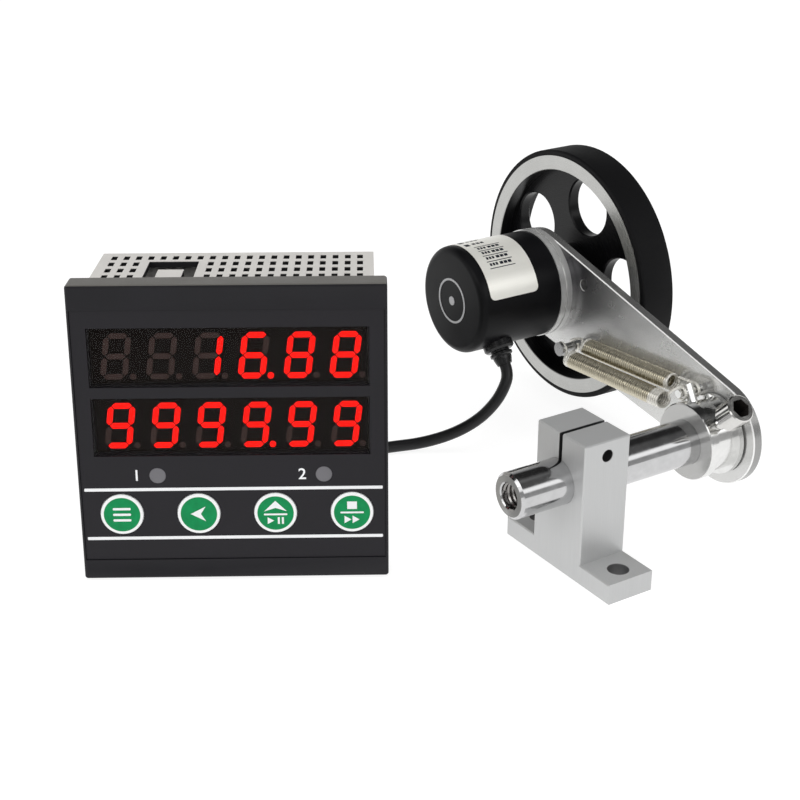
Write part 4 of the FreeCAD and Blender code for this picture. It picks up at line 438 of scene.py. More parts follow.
finishes = {
    "charcoal": moulded("charcoalPlastic", (0.0095, 0.0090, 0.0115), 0.45, 0.3, 0.004, gloss=0.24),
    "panel": moulded("panelFilm", (0.0100, 0.0090, 0.0120), 0.42, 0.5, 0.003, gloss=0.26),
    "black": moulded("blackPlastic", (0.006, 0.006, 0.007), 0.45, gloss=0.2),
    "module": moulded("moduleFace", (0.0042, 0.0026, 0.0020), 0.6, 1.5, 0.001, 0.05, gloss=0.05),
    "window": smoked("smokedWindow", (0.008, 0.006, 0.005), 0.14),
    "lit": glowing("litSegment", (1.0, 0.006, 0.003), 1.9),
    "unlit": moulded("unlitSegment", (0.060, 0.036, 0.032), 0.6, 1.5, 0.001, 0.05, gloss=0.1),
    "lens": moulded("greyLens", (0.150, 0.147, 0.158), 0.45, 0.6, 0.002, gloss=0.3),
    "housing": moulded("greyHousing", (0.66, 0.64, 0.61), 0.48, 0.4, 0.004, 0.05),
    "cover": moulded("rearCover", (0.66, 0.64, 0.61), 0.48, 0.4, 0.004, 0.05),
    "board": moulded("solderMask", (0.004, 0.03, 0.014), 0.35, 1.2, 0.004, 0.2, coat=0.3),
    "terminal": moulded("terminalGreen", (0.02, 0.22, 0.07), 0.42),
    "printWhite": moulded("whitePrint", (0.86, 0.87, 0.88), 0.5, 0.3, 0.002, 0.03),
    "printDark": moulded("darkPrint", (0.016, 0.018, 0.026), 0.6, 0.3, 0.002, 0.1, gloss=0.1),
    "jacket": moulded("cableJacket", (0.005, 0.005, 0.006), 0.36, 0.5, 0.006, gloss=0.35),
    "boot": moulded("bootRubber", (0.005, 0.005, 0.006), 0.28, 0.6, 0.004, coat=0.15, gloss=0.3),
    "tyre": moulded("tyreRubber", (0.0035, 0.0035, 0.004), 0.60, 0.22, 0.012, gloss=0.13),
    "bush": moulded("bushPlastic", (0.55, 0.54, 0.48), 0.45),
    "shell": moulded("shellBlack", (0.0042, 0.0042, 0.005), 0.36, 0.16, 0.003, place=encoderFrame,
                     gloss=0.12),
    "mark": moulded("markPrint", (0.42, 0.42, 0.43), 0.45, 0.3, 0.002, 0.05),
    "rod": turnedMetal("groundSteel", rodFrame, (0.58, 0.58, 0.585), 0.12),
    "hub": turnedMetal("polishedSteel", rodFrame, (0.80, 0.80, 0.79), 0.12),
    "lockScrew": turnedMetal("lockScrewSteel", rodFrame, (0.72, 0.71, 0.69), 0.12),
    "screw": turnedMetal("screwSteel", rodFrame, (0.40, 0.40, 0.40), 0.25),
    # Darker steel for the thread in the rod's end: painted shade inside the tapped hole
    "tapped": turnedMetal("tappedSteelShaded", rodFrame, (0.30, 0.29, 0.28), 0.22),
    "block": brushedMetal("satinAluminium", rodFrame, (0.55, 0.555, 0.555), 0.40, (4.0, 0.05, 4.0), 0.0012,
                          0.05, 0.003, 0.5),
    "plate": brushedMetal("polishedPlate", armFrame, (0.70, 0.70, 0.69), 0.26, (0.03, 2.0, 2.0), 0, 0.03,
                          metallic=0.75),
    "flange": turnedMetal("turnedFlange", encoderFrame, (0.80, 0.80, 0.79), 0.16, metallic=0.6),
    "encoderSteel": turnedMetal("bearingSteel", encoderFrame, (0.6, 0.6, 0.6), 0.2),
    "wheel": wheelMetal("wheelMetal", encoderFrame, (0.0035, 0.0035, 0.004), (0.50, 0.50, 0.485), 31.72),
    "spring": turnedMetal("springWire", armFrame, (0.62, 0.575, 0.455), 0.24, 0.5, 0.0003),
    "label": brushedMetal("labelFoil", encoderFrame, (0.93, 0.92, 0.86), 0.32, (1.0, 1.0, 0.05), 0, 0.02,
                          metallic=0.35),
    "core": turnedMetal("transformerSteel", faceFrame, (0.14, 0.13, 0.12), 0.4),
    "brass": turnedMetal("pinBrass", faceFrame, (0.72, 0.53, 0.22), 0.25),
}

# Painted shade on the walls of openings, in the frame of the piece that has them

inside = {
    # The housing's inside; its dark colour is shade painted on the inner walls
    "housingHalf": 34.9, "housingLow": 3.1, "housingHigh": 72.9, "dark": (0.010, 0.010, 0.011),
    # The block's slot, clamp hole and foot holes; the hole colour is shade painted on their walls
    "clampUp": 9.0, "clampRadius": 2.4, "clampHalf": 9.3, "slotHalf": 0.65, "slotLow": 5.0, "slotHigh": 12.9,
    "footReach": 16.0, "footRadius": 2.8, "footLow": -40.0, "footHigh": -19.6, "footSoft": 0.2,
    "hole": (0.05, 0.05, 0.052),
    # The lock screw's socket; the socket colour and metallic are shade painted inside it
    "lockAngle": 135.0, "lockAlong": 39.3, "socketRadius": 2.75, "socketSoft": 0.05, "socketLow": 13.7,
    "socketHigh": 19.22, "socket": (0.035, 0.03, 0.027), "socketMetallic": 0.4,
}
lockFrame = rodFrame @ move(0, 0, inside["lockAlong"]) @ turn("Z", inside["lockAngle"]) @ turn("Y", 90)


def shadeInHousing(tree, at):
    return both(tree, within(tree, at, "X", -inside["housingHalf"], inside["housingHalf"]),
                within(tree, at, "Y", inside["housingLow"], inside["housingHigh"]))


def shadeInBlockHoles(tree, at):
    slot = both(tree, within(tree, at, "X", -inside["slotHalf"], inside["slotHalf"]),
                within(tree, at, "Y", inside["slotLow"], inside["slotHigh"]))
    clamp = both(tree, nearAxis(tree, at, "X", (inside["clampUp"], 0), inside["clampRadius"]),
                 within(tree, at, "X", -inside["clampHalf"], inside["clampHalf"]))
    feet = [both(tree, nearAxis(tree, at, "Y", (side * inside["footReach"], 0), inside["footRadius"]),
                 within(tree, at, "Y", inside["footLow"], inside["footHigh"], inside["footSoft"]))
            for side in (-1, 1)]
    return either(tree, slot, clamp, *feet)


def shadeInLockSocket(tree, at):
    return both(tree, nearAxis(tree, at, "Z", (0, 0), inside["socketRadius"], inside["socketSoft"]),
                within(tree, at, "Z", inside["socketLow"], inside["socketHigh"]))


# Painted shade on the housing's inner walls
paintLightAndShade(finishes["housing"], faceFrame, shadeInHousing, inside["dark"])
# Painted shade in the block's slot and holes
paintLightAndShade(finishes["block"], rodFrame, shadeInBlockHoles, inside["hole"])
# Painted shade in the lock screw's socket
paintLightAndShade(finishes["lockScrew"], lockFrame, shadeInLockSocket, inside["socket"], inside["socketMetallic"])

# Painted light and shade: a painted shadow on the plate, painted highlights on the bezel's top, the springs'
# ends and the plate's chamfer, and painted shade on the rod's end, the hub's near end and the plate's sides

plateShadow = {"at": (66, 12), "radius": 14.0, "soft": 10.0, "share": 0.95, "colour": (0.050, 0.048, 0.055)}
# Painted highlight on the bezel's top face
bezelTopHighlight = {"up": (75.75, 77.0), "along": (-7.5, -0.25), "colour": (0.13, 0.125, 0.115)}
# Painted highlights on the springs' ends and hooks
springEndHighlights = {"places": ((0.0, 17.9), (50.9, 60.0)), "soft": 0.2, "colour": (0.82, 0.80, 0.74),
              "metallic": 0.6}
# Painted light and shade in bands. Finish, frame, low and high along the frame's Z, softness, colour,
# metallic where it changes
lightAndShadeBands = (
    # Painted shade on the rod's front end
    ("rod", rodFrame, -23.0, -22.45, 0.02, (0.36, 0.36, 0.35), 0.4),
    # Painted shade on the hub's near end
    ("hub", rodFrame, 33.5, 34.2, 0.02, (0.52, 0.52, 0.51), 0.6),
    # Painted shade on the plate's sides
    ("plate", armFrame, 45.35, 47.65, 0.03, (0.34, 0.34, 0.335), None),
    # Painted highlight on the plate's chamfer
    ("plate", armFrame, 45.04, 45.33, 0.02, (0.95, 0.95, 0.94), 0.2),
)


def onShadow(tree, at):
    spot = nearAxis(tree, at, "Z", plateShadow["at"], plateShadow["radius"], plateShadow["soft"])
    return both(tree, spot, plateShadow["share"])


def onBezelTopHighlight(tree, at):
    return both(tree, within(tree, at, "Y", *bezelTopHighlight["up"]), within(tree, at, "Z", *bezelTopHighlight["along"]))


def onSpringEndHighlights(tree, at):
    return either(tree, *(within(tree, at, "X", low, high, springEndHighlights["soft"])
                          for low, high in springEndHighlights["places"]))


def bandMask(low, high, soft):
    return lambda tree, at: within(tree, at, "Z", low, high, soft)


paintLightAndShade(finishes["plate"], armFrame, onShadow, plateShadow["colour"])
# Painted light and shade in bands
for finish, place, low, high, soft, colour, metallic in lightAndShadeBands:
    paintLightAndShade(finishes[finish], place, bandMask(low, high, soft), colour, metallic)
# Painted highlight on the bezel's top face
paintLightAndShade(finishes["charcoal"], faceFrame, onBezelTopHighlight, bezelTopHighlight["colour"])
# Painted highlights on the springs' ends
paintLightAndShade(finishes["spring"], armFrame, onSpringEndHighlights, springEndHighlights["colour"], springEndHighlights["metallic"])

keys = {
    "names": ("set_key", "shift_key", "up_key", "reset_key"), "pitch": 18.9, "shift": 0.65, "up": 17.5,
    "proud": 0.1, "ring": 4.5, "green": (0.0, 0.25, 0.075), "white": (0.90, 0.91, 0.91),
}
middleKey = (len(keys["names"]) - 1) / 2
keyFrames = {name: faceFrame @ move((i - middleKey) * keys["pitch"] + keys["shift"], keys["up"])
             for i, name in enumerate(keys["names"])}
wears = {
    "bezel_frame": "charcoal", "face_panel": "panel", "upper_window": "window", "lower_window": "window",
    "upper_digit_module": "module", "lower_digit_module": "module", "lit_segments": "lit",
    "unlit_segments": "unlit", "alarm_lights": "lens", "display_board": "board", "key_switches": "black",
    "perforated_housing": "housing", "rear_cover": "cover", "lower_terminal_block": "terminal",
    "upper_terminal_block": "terminal", "terminal_screws": "screw", "main_board": "board",
    "transformer": "core", "output_relays": "black", "capacitors": "black", "link_pins": "brass",
    "support_block": "block", "support_clamp_screw": "screw", "support_shaft": "rod", "pivot_hub": "hub",
    "hub_lock_screw": "lockScrew", "spring_anchor": "hub", "retaining_washer": "hub",
    "retaining_ring": "screw",
    "arm_plate": "plate", "pivot_bush": "bush", "spring_post": "screw", "post_nut": "screw",
    "encoder_flange": "flange", "flange_screws": "screw", "encoder_shell": "shell", "cap_mark": "mark",
    "lead_boot": "boot", "encoder_board": "board", "disc_reader": "black",
    "bearing_outer_rings": "encoderSteel", "bearing_balls": "encoderSteel", "encoder_shaft": "encoderSteel",
    "bearing_inner_rings": "encoderSteel", "code_disc": "encoderSteel", "wheel_disc": "wheel",
    "wheel_tyre": "tyre", "wheel_set_screw": "screw",
}


smoothing = {"weld": 2e-7, "sharpAngle": 28.0}


def smoothEdges():
    # Joins a node's loose triangles, and keeps edges over the set angle sharp
    group = bpy.data.node_groups.new("smoothByAngle", "GeometryNodeTree")
    group.interface.new_socket("Geometry", in_out="INPUT", socket_type="NodeSocketGeometry")
    group.interface.new_socket("Geometry", in_out="OUTPUT", socket_type="NodeSocketGeometry")
    new, link = group.nodes.new, group.links.new
    start, end = new("NodeGroupInput"), new("NodeGroupOutput")
    weld = new("GeometryNodeMergeByDistance")
    weld.inputs["Distance"].default_value = smoothing["weld"]
    soft, sharp = new("GeometryNodeSetShadeSmooth"), new("GeometryNodeSetShadeSmooth")
    sharp.domain = "EDGE"
    sharp.inputs["Shade Smooth"].default_value = False
    angle, over = new("GeometryNodeInputMeshEdgeAngle"), new("FunctionNodeCompare")
    over.inputs["B"].default_value = math.radians(smoothing["sharpAngle"])
    link(angle.outputs[0], over.inputs["A"])
    link(start.outputs[0], weld.inputs["Geometry"])
    link(weld.outputs[0], soft.inputs["Geometry"])
    link(soft.outputs[0], sharp.inputs["Geometry"])
    link(over.outputs[0], sharp.inputs["Selection"])
    link(sharp.outputs[0], end.inputs[0])
    return group


smoothGroup = smoothEdges()


def smoothNode(thing):
    made = thing.modifiers.new("smoothByAngle", "NODES")
    made.node_group = smoothGroup


def dress(thing, material):
    thing.data.materials.clear()
    thing.data.materials.append(material)
    smoothNode(thing)


for name, finish in wears.items():
    dress(nodes[name], finishes[finish])
for name, place in keyFrames.items():
    dress(nodes[name],
          ringedKey(name.replace("_", "") + "Print", place, keys["green"], keys["white"], keys["ring"]))
print("finishes on the frame's nodes")

# Tools for new pieces

def addPiece(name, work, finish, body, place, smooth=True):
    bmesh.ops.transform(work, matrix=place, verts=work.verts)
    bmesh.ops.recalc_face_normals(work, faces=work.faces)
    mesh = bpy.data.meshes.new(name)
    for face in work.faces:
        face.smooth = smooth
    work.to_mesh(mesh)
    work.free()
    thing = bpy.data.objects.new(name, mesh)
    bpy.context.scene.collection.objects.link(thing)
    mesh.materials.append(finishes[finish])
    if smooth:
        smoothNode(thing)
    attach(thing, body)
    return thing


def nurbsCurve(name, points, radius, corners, fine):
    data = bpy.data.curves.new(name, "CURVE")
    data.dimensions = "3D"
    data.resolution_u = fine
    data.bevel_depth = radius
    data.bevel_resolution = corners
    data.use_fill_caps = radius > 0
    line = data.splines.new("NURBS")
    line.points.add(len(points) - 1)
    for spot, point in zip(line.points, points):
        spot.co = (*point, 1)
    line.order_u = 3
    line.use_endpoint_u = True
    thing = bpy.data.objects.new(name, data)
    bpy.context.scene.collection.objects.link(thing)
    return thing


def meshFrom(curve, name):
    bpy.context.view_layer.update()
    graph = bpy.context.evaluated_depsgraph_get()
    mesh = bpy.data.meshes.new_from_object(curve.evaluated_get(graph))
    mesh.name = name
    return mesh


def wireTube(name, points, radius, finish, corners, fine):
    # A round wire or cord along a NURBS line, as a mesh, and the line that it follows
    bare = nurbsCurve(name + "Line", points, 0.0, 0, fine)
    path = [vertex.co.copy() for vertex in meshFrom(bare, name + "Path").vertices]
    thick = nurbsCurve(name + "Thick", points, radius, corners, fine)
    mesh = meshFrom(thick, name)
    for curve in (bare, thick):
        bpy.data.objects.remove(curve)
    thing = bpy.data.objects.new(name, mesh)
    bpy.context.scene.collection.objects.link(thing)
    for face in mesh.polygons:
        face.use_smooth = True
    mesh.materials.clear()
    mesh.materials.append(finishes[finish])
    return thing, path


# Encoder lead: free stretch, coil of spare length behind the counter, tail to the terminals

lead = {
    "diameter": 3.4, "low": 1.75, "exitRun": 3.0, "length": 0.92,
    "route": [(22.7, 8.7, 19.6), (20.2, 7.7, 15.4), (15.5, 7.5, 10.2), (8.2, 7.7, 5.6), (-1.0, 8.0, 2.5),
              (-9.5, 7.3, 1.75), (-16.8, 4.7, 1.75), (-25.9, 1.5, 1.75), (-40.1, -0.7, 1.75),
              (-54.1, -0.7, 1.75)],
    "coilX": -57.5, "coilY": 24.8, "coilRadius": 25.5, "coilPitch": 4.0, "layerTurns": 3.125, "climb": 0.5,
    "perTurn": 20, "tailRunShare": 0.33, "endGap": 11.0, "terminalUp": 15.0, "terminalX": 15.0,
    "blockBack": 49.7, "bendFrom": 5,  # the route's first point at the lead's low height
}
boot = {"along": 23.4, "angle": 232.0, "shellRadius": 15.6, "reach": 6.2}


def mmPoint(point):
    return Vector(point) * mm


bootFrame = (encoderFrame @ move(0, 0, boot["along"]) @ turn("Z", boot["angle"] - bracket["armAngle"])
             @ turn("Y", 90))
bootTip = bootFrame @ Vector((0, 0, (boot["shellRadius"] + boot["reach"]) * mm))
bootHeading = (bootFrame.to_3x3() @ Vector((0, 0, 1))).normalized()


def coilPoint(share):
    inward = min(share, 2 * lead["layerTurns"] + lead["climb"] - share)
    rise = min(max((share - lead["layerTurns"]) / lead["climb"], 0), 1)
    radius = lead["coilRadius"] - lead["coilPitch"] * inward
    angle = -math.pi / 2 - 2 * math.pi * share
    return Vector((lead["coilX"] + radius * math.cos(angle), lead["coilY"] + radius * math.sin(angle),
                   lead["low"] + lead["coilPitch"] * rise)) * mm


def leadPoints():
    points = [bootTip, bootTip + bootHeading * lead["exitRun"] * mm]
    points += [mmPoint(point) for point in lead["route"]]
    total = 2 * lead["layerTurns"] + lead["climb"]
    steps = round(total * lead["perTurn"])
    points += [coilPoint(total * i / steps) for i in range(steps + 1)]
    end = points[-1] + Vector((0, -lead["diameter"] * mm, 0))
    entry = faceFrame @ (Vector((lead["terminalX"], lead["terminalUp"], -lead["blockBack"])) * mm)
    outward = (faceFrame.to_3x3() @ Vector((0, 0, -1))).normalized()
    stop = entry + outward * lead["endGap"] * mm
    run = (stop - end).length * lead["tailRunShare"]
    points += [end, end + Vector((0, -run, 0)), stop + outward * run, stop]
    return points, stop, entry, outward


leadLine, leadStop, leadEntry, leadOutward = leadPoints()
leadTube, leadPath = wireTube("encoderLead", leadLine, lead["diameter"] / 2 * mm, "jacket",
                              6, 5)
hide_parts("encoder_lead", "lead_coil", "lead_tail")
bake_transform(leadTube)
print("lead length:", sum((b - a).length for a, b in zip(leadPath, leadPath[1:])))

cores = {
    "diameter": 1.1, "ring": 0.95, "straight": 3.0, "entryDepth": 4.0, "pitch": 6.0, "rise": 2.5,
    "finish": (0.4, 0.4, 0.003),
    "colours": ((0.35, 0.02, 0.02), (0.01, 0.01, 0.01), (0.02, 0.18, 0.05), (0.75, 0.73, 0.70),
                (0.55, 0.38, 0.02)),
}


def addCores():
    right = (faceFrame.to_3x3() @ Vector((1, 0, 0))).normalized()
    up = (faceFrame.to_3x3() @ Vector((0, 1, 0))).normalized()
    made = []
    count = len(cores["colours"])
    for i, colour in enumerate(cores["colours"]):
        place = i - (count - 1) / 2
        angle = math.pi / 2 - 2 * math.pi * place / count
        begin = leadStop + (right * math.cos(angle) + up * math.sin(angle)) * cores["ring"] * mm
        finish = (leadEntry + right * cores["pitch"] * place * mm + up * cores["rise"] * mm
                  - leadOutward * cores["entryDepth"] * mm)
        key = f"coreSheath{i + 1}"
        finishes[key] = moulded(key, colour, *cores["finish"])
        points = [begin, begin - leadOutward * cores["straight"] * mm,
                  finish + leadOutward * (cores["entryDepth"] + cores["straight"]) * mm, finish]
        core, _ = wireTube(f"leadCore{i + 1}", points, cores["diameter"] / 2 * mm, key, 3, 12)
        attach(core, root)
        made.append(core)
    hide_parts("lead_cores")
    return made


leadCores = addCores()
print("lead and its cores made")

# Springs: close wound, each with a hook round the post on the arm and one round the anchor's pin

spring = {
    "outer": 5.2, "wire": 0.8, "pitch": 0.82, "perTurn": 12,
    "hookRadius": 1.75, "hookRun": 1.2, "hookTurn": 285.0, "hookSteps": 16,
    "post": (56.8, -7.5), "pinRadius": 12.4, "pinAngle": 45.6,
    # Arm end, pin end and place along the rod
    "front": ((52.6, -8.3), (14.1, 3.0), 37.6), "rear": ((51.8, -4.7), (16.5, 5.9), 42.2),
    "cuts": (0.0, 0.05, 0.11, 0.21, 0.40, 1.0),  # shares of the way from the pin to the post
}
pinTurn = math.radians(spring["pinAngle"])
springPin = Vector((math.cos(pinTurn), math.sin(pinTurn))) * spring["pinRadius"]
springPost = Vector(spring["post"])
springLine = springPost - springPin


def hookPoints(eye, base, side):
    # From the last curl's end to the pin, and round it
    gap = eye - base
    angle = math.asin(spring["hookRadius"] / gap.length) * side
    heading = (Matrix.Rotation(angle, 3, "Z") @ gap).normalized()
    touch = base + heading * math.sqrt(gap.length ** 2 - spring["hookRadius"] ** 2)
    steps = spring["hookSteps"]
    spin = math.radians(spring["hookTurn"]) * -side
    points = [base]
    for i in range(steps + 1):
        points.append(eye + Matrix.Rotation(spin * i / steps, 3, "Z") @ (touch - eye))
    return points


def springPoints(left, right, along):
    pinEye, postEye = Vector((*springPin, along)), Vector((*springPost, along))
    left, right = Vector((*left, along)), Vector((*right, along))
    axis = (right - left).normalized()
    long = (right - left).length
    side = Vector((0, 0, 1))
    over = side.cross(axis)
    radius = (spring["outer"] - spring["wire"]) / 2
    turns = round(long / spring["pitch"]) + 0.5
    leftHook = hookPoints(postEye, left - axis * spring["hookRun"] - over * radius, 1)
    rightHook = hookPoints(pinEye, right + axis * spring["hookRun"] - over * radius, -1)
    count = round(turns * spring["perTurn"])
    curls = []
    for i in range(count + 1):
        share = i / count
        spin = 2 * math.pi * turns * share
        curls.append(left + axis * long * share + (over * math.sin(spin) - side * math.cos(spin)) * radius)
    return [armFrame @ (point * mm) for point in leftHook[::-1] + curls + rightHook]


def cutTube(tube, name, low, high):
    # The faces of a spring between two places on the way from the pin to the post
    work = bmesh.new()
    work.from_mesh(tube.data)
    back = armFrame.inverted()
    outside = []
    for face in work.faces:
        way = ((back @ face.calc_center_median()) / mm).xy - springPin
        if not low <= way.dot(springLine) / springLine.length_squared < high:
            outside.append(face)
    bmesh.ops.delete(work, geom=outside, context="FACES")
    mesh = bpy.data.meshes.new(name)
    work.to_mesh(mesh)
    work.free()
    mesh.materials.append(finishes["spring"])
    piece = bpy.data.objects.new(name, mesh)
    bpy.context.scene.collection.objects.link(piece)
    return piece


def addSpring(name, replaced, ends):
    # In lengths cut at shares of the way from the pin to the post; neighbours meet at the same share
    radius, cuts = spring["wire"] / 2 * mm, spring["cuts"]
    tube, _ = wireTube(name + "Whole", springPoints(*ends), radius, "spring", 2, 2)
    for i, (low, high) in enumerate(zip(cuts, cuts[1:])):
        # The hooks reach past both ends of the way
        piece = cutTube(tube, f"{name}{i + 1}", low if i else -math.inf, high if high < 1 else math.inf)
        if i == 0:
            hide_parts(replaced)
        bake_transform(piece)
    bpy.data.objects.remove(tube)


addSpring("frontSpring", "front_spring", spring["front"])
addSpring("rearSpring", "rear_spring", spring["rear"])
print("springs made")

# Printing on the face: lines, numbers by the lights and plain signs on the keys

printed = {
    "thick": 0.03, "lift": 0.002,
    "lineUps": (24.0, 11.0), "lineWidth": 0.8, "lineReach": 36.6, "lineCorner": 0.2,
    "numberSize": 4.06, "numberBold": 0.04, "numbers": (("1", -23.6), ("2", 16.9)), "numberUp": 27.6,
}


def addOutline(work, points, thick):
    # A flat shape with a little thickness
    made = [work.verts.new((x * mm, y * mm, 0)) for x, y in points]
    face = work.faces.new(made)
    face.normal_update()
    if face.normal.z < 0:
        face.normal_flip()
    raised = bmesh.ops.extrude_face_region(work, geom=[face])
    verts = [item for item in raised["geom"] if isinstance(item, bmesh.types.BMVert)]
    bmesh.ops.translate(work, verts=verts, vec=(0, 0, thick * mm))


def bar(x0, y0, x1, y1):
    return [(x0, y0), (x1, y0), (x1, y1), (x0, y1)]


def roundedBar(x0, y0, x1, y1, radius, steps=5):
    points = []
    for cx, cy, start in ((x1 - radius, y0 + radius, -90), (x1 - radius, y1 - radius, 0),
                          (x0 + radius, y1 - radius, 90), (x0 + radius, y0 + radius, 180)):
        for i in range(steps + 1):
            angle = math.radians(start + 90 * i / steps)
            points.append((cx + radius * math.cos(angle), cy + radius * math.sin(angle)))
    return points


def addFacePrint():
    work = bmesh.new()
    half, reach = printed["lineWidth"] / 2, printed["lineReach"]
    for up in printed["lineUps"]:
        line = roundedBar(-reach, up - half, reach, up + half, printed["lineCorner"])
        addOutline(work, line, printed["thick"])
    addPiece("facePrint", work, "printWhite", root,
             faceFrame @ move(0, 0, -counter["panelRecess"] + printed["lift"]), smooth=False)


alarm = {"radius": 2.03, "up": 27.6, "places": (-18.5, 22.2), "deep": 1.2, "below": 0.02, "edge": 0.12}


def addLenses():
    # Flush lenses of the two alarm lights, each filling its hole in the face
    work = bmesh.new()
    bmesh.ops.create_cone(work, cap_ends=True, segments=48, radius1=alarm["radius"] * mm,
                          radius2=alarm["radius"] * mm, depth=alarm["deep"] * mm)
    rim = [edge for edge in work.edges if all(end.co.z > 0 for end in edge.verts)]
    bmesh.ops.bevel(work, geom=rim, offset=alarm["edge"] * mm, segments=3, profile=0.5, affect="EDGES",
                    material=-1)
    left, right = alarm["places"]
    bmesh.ops.translate(work, verts=work.verts, vec=(left * mm, alarm["up"] * mm, 0))
    second = bmesh.ops.duplicate(work, geom=work.verts[:] + work.edges[:] + work.faces[:])
    verts = [item for item in second["geom"] if isinstance(item, bmesh.types.BMVert)]
    bmesh.ops.translate(work, verts=verts, vec=((right - left) * mm, 0, 0))
    place = faceFrame @ move(0, 0, -counter["panelRecess"] - alarm["below"] - alarm["deep"] / 2)
    piece = addPiece("alarmLenses", work, "lens", root, place)
    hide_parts("alarm_lights")


def addNumber(text, x):
    data = bpy.data.curves.new("lightNumber" + text, "FONT")
    data.body = text
    data.size = printed["numberSize"] * mm
    data.extrude = printed["thick"] * mm / 2
    data.align_x = "CENTER"
    data.align_y = "CENTER"
    data.offset = printed["numberBold"] * mm
    thing = bpy.data.objects.new("numberShape", data)
    bpy.context.scene.collection.objects.link(thing)
    mesh = meshFrom(thing, "lightNumber" + text)
    bpy.data.objects.remove(thing)
    mesh.transform(faceFrame @ move(x, printed["numberUp"],
                                    -counter["panelRecess"] + printed["thick"] / 2 + printed["lift"]))
    piece = bpy.data.objects.new("lightNumber" + text, mesh)
    bpy.context.scene.collection.objects.link(piece)
    mesh.materials.clear()
    mesh.materials.append(finishes["printWhite"])
    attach(piece, root)


addFacePrint()
addLenses()
for text, x in printed["numbers"]:
    addNumber(text, x)
signs = {
    "set_key": [roundedBar(-2.2, y - 0.3, 2.2, y + 0.3, 0.25) for y in (-1.5, 0.0, 1.5)],
    "shift_key": [[(-2.0, 0.0), (1.7, -1.95), (0.5, 0.0), (1.7, 1.95)]],
    "up_key": [[(0.0, 3.3), (-2.8, 0.5), (0.0, 1.4), (2.8, 0.5)], roundedBar(-2.9, -0.55, 2.9, -0.1, 0.2),
               [(-2.0, -1.1), (-2.0, -2.9), (-0.4, -2.0)], bar(0.5, -2.9, 1.0, -1.1),
               bar(1.5, -2.9, 2.0, -1.1)],
    "reset_key": [roundedBar(-2.9, -0.25, 2.9, 0.2, 0.2), bar(-1.2, 0.9, 1.2, 2.9),
                  [(-1.9, -2.9), (-1.9, -0.9), (-0.2, -1.9)], [(0.1, -2.9), (0.1, -0.9), (1.8, -1.9)]],
}
for name, shapes in signs.items():
    work = bmesh.new()
    for shape in shapes:
        addOutline(work, shape, printed["thick"])
    addPiece(name.replace("_key", "KeySign"), work, "printWhite", name + "_body",
             keyFrames[name] @ move(0, 0, keys["proud"] + printed["lift"]), smooth=False)
print("printing made")

# Encoder label: foil wrapped round the shell, with plain marks on it

label = {
    "start": 16.8, "length": 16.5, "low": 15.0, "sweep": 118.0, "radius": 15.62, "thick": 0.1, "corner": 1.6,
    "facet": 0.8,
}
# Down from the first table line, and along the encoder from the label's edge
labelMarks = {
    "low": 1.2, "high": 11.4, "first": 9.2, "rows": 5, "rowStep": 2.3, "line": 0.24, "tableLow": 1.6,
    "column": 5.0, "dashDrop": 1.6, "dashDeep": 0.9, "dashCount": 3,
    "dashes": ((2.1, 1.0, 0.7), (5.5, 1.4, 1.1)),  # start, step and length
    "blocks": ((-12.0, 1.5, 0.0, 1.5), (-15.3, 1.5, 0.0, 1.5), (-16.6, 0.2, 0.0, 8.0)),
    "lowDashes": ((-12.0, 1.1), (-15.0, 0.8)), "lowDash": (2.6, 1.4, 1.0), "thick": 0.02, "lift": 0.005,
}
labelLow = 180 - label["low"] - label["sweep"] - bracket["armAngle"]


def wrapped(work, radius):
    # x is the length round the shell in mm, y the place along it
    for vertex in work.verts:
        x, y, z = (value / mm for value in vertex.co)
        angle = math.radians(labelLow) + x / label["radius"]
        reach = radius + z
        vertex.co = Vector((reach * math.cos(angle), reach * math.sin(angle), y)) * mm


def cutEvery(work, step, high):
    x = step
    while x < high:
        geometry = work.verts[:] + work.edges[:] + work.faces[:]
        bmesh.ops.bisect_plane(work, geom=geometry, plane_co=(x * mm, 0, 0), plane_no=(1, 0, 0))
        x += step


def addLabel(long):
    work = bmesh.new()
    sheet = roundedBar(0, label["start"], long, label["start"] + label["length"], label["corner"])
    addOutline(work, sheet, label["thick"])
    cutEvery(work, label["facet"], long)
    wrapped(work, label["radius"])
    piece = addPiece("encoderLabel", work, "label", "arm", encoderFrame)
    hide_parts("encoder_label")


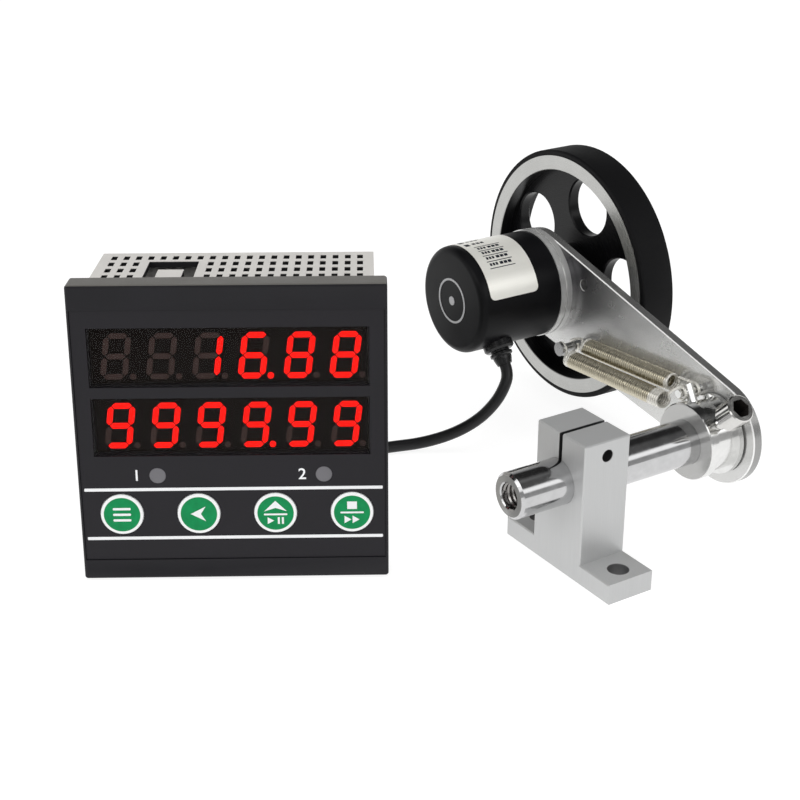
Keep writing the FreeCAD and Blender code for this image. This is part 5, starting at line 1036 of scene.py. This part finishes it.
def addLabelMarks(long):
    # A ruled table and rows of short dashes in place of the printing
    work = bmesh.new()
    size = labelMarks
    low, high = label["start"] + size["low"], label["start"] + size["high"]
    top, line, rows = long - size["first"], size["line"], size["rows"]
    marks = [bar(top - i * size["rowStep"], low + size["tableLow"], top - i * size["rowStep"] + line, high)
             for i in range(rows)]
    for y in (low + size["tableLow"], low + size["column"], high - line):
        marks.append(bar(top - (rows - 1) * size["rowStep"], y, top + line, y + line))
    for i in range(rows - 1):
        x = top - size["dashDrop"] - i * size["rowStep"]
        for start, step, reach in size["dashes"]:
            for y in (low + start + j * step for j in range(size["dashCount"])):
                marks.append(bar(x, y, x + size["dashDeep"], y + reach))
    for drop, deep, start, reach in size["blocks"]:
        marks.append(bar(top + drop, low + start, top + drop + deep, low + start + reach))
    start, step, reach = size["lowDash"]
    for drop, deep in size["lowDashes"]:
        for y in (low + start + j * step for j in range(size["dashCount"])):
            marks.append(bar(top + drop, y, top + drop + deep, y + reach))
    for shape in marks:
        addOutline(work, shape, size["thick"])
    wrapped(work, label["radius"] + label["thick"] + size["lift"])
    addPiece("encoderLabelMarks", work, "printDark", "arm", encoderFrame, smooth=False)


labelLong = math.radians(label["sweep"]) * label["radius"]
addLabel(labelLong)
addLabelMarks(labelLong)
print("label made")

# Thread in the rod's tapped end

thread = {
    "bore": 6.7, "crest": 5.9, "pitch": 1.25, "length": 14.0, "chamfer": 0.7, "clear": 0.01, "steps": 32,
    "flanks": (0.18, 0.5, 0.72, 1.05),
}


def addThread():
    work = bmesh.new()
    outer, inner = thread["bore"] / 2 - thread["clear"], thread["crest"] / 2
    pitch, steps = thread["pitch"], thread["steps"]
    turns = int(thread["length"] / pitch)
    profile = list(zip((outer, outer, inner, inner, outer, outer), (0.0, *thread["flanks"], pitch)))
    verts = [work.verts.new((x * mm, 0, z * mm)) for x, z in profile]
    edges = [work.edges.new(pair) for pair in zip(verts, verts[1:])]
    bmesh.ops.spin(work, geom=verts + edges, cent=(0, 0, 0), axis=(0, 0, 1), dvec=(0, 0, pitch * mm / steps),
                   angle=2 * math.pi * turns, steps=steps * turns, use_merge=False)
    bmesh.ops.remove_doubles(work, verts=work.verts, dist=1e-6)
    addPiece("rodThread", work, "tapped", root,
             rodFrame @ move(0, 0, -bracket["rodFront"] + thread["chamfer"]))


addThread()
print("thread made")
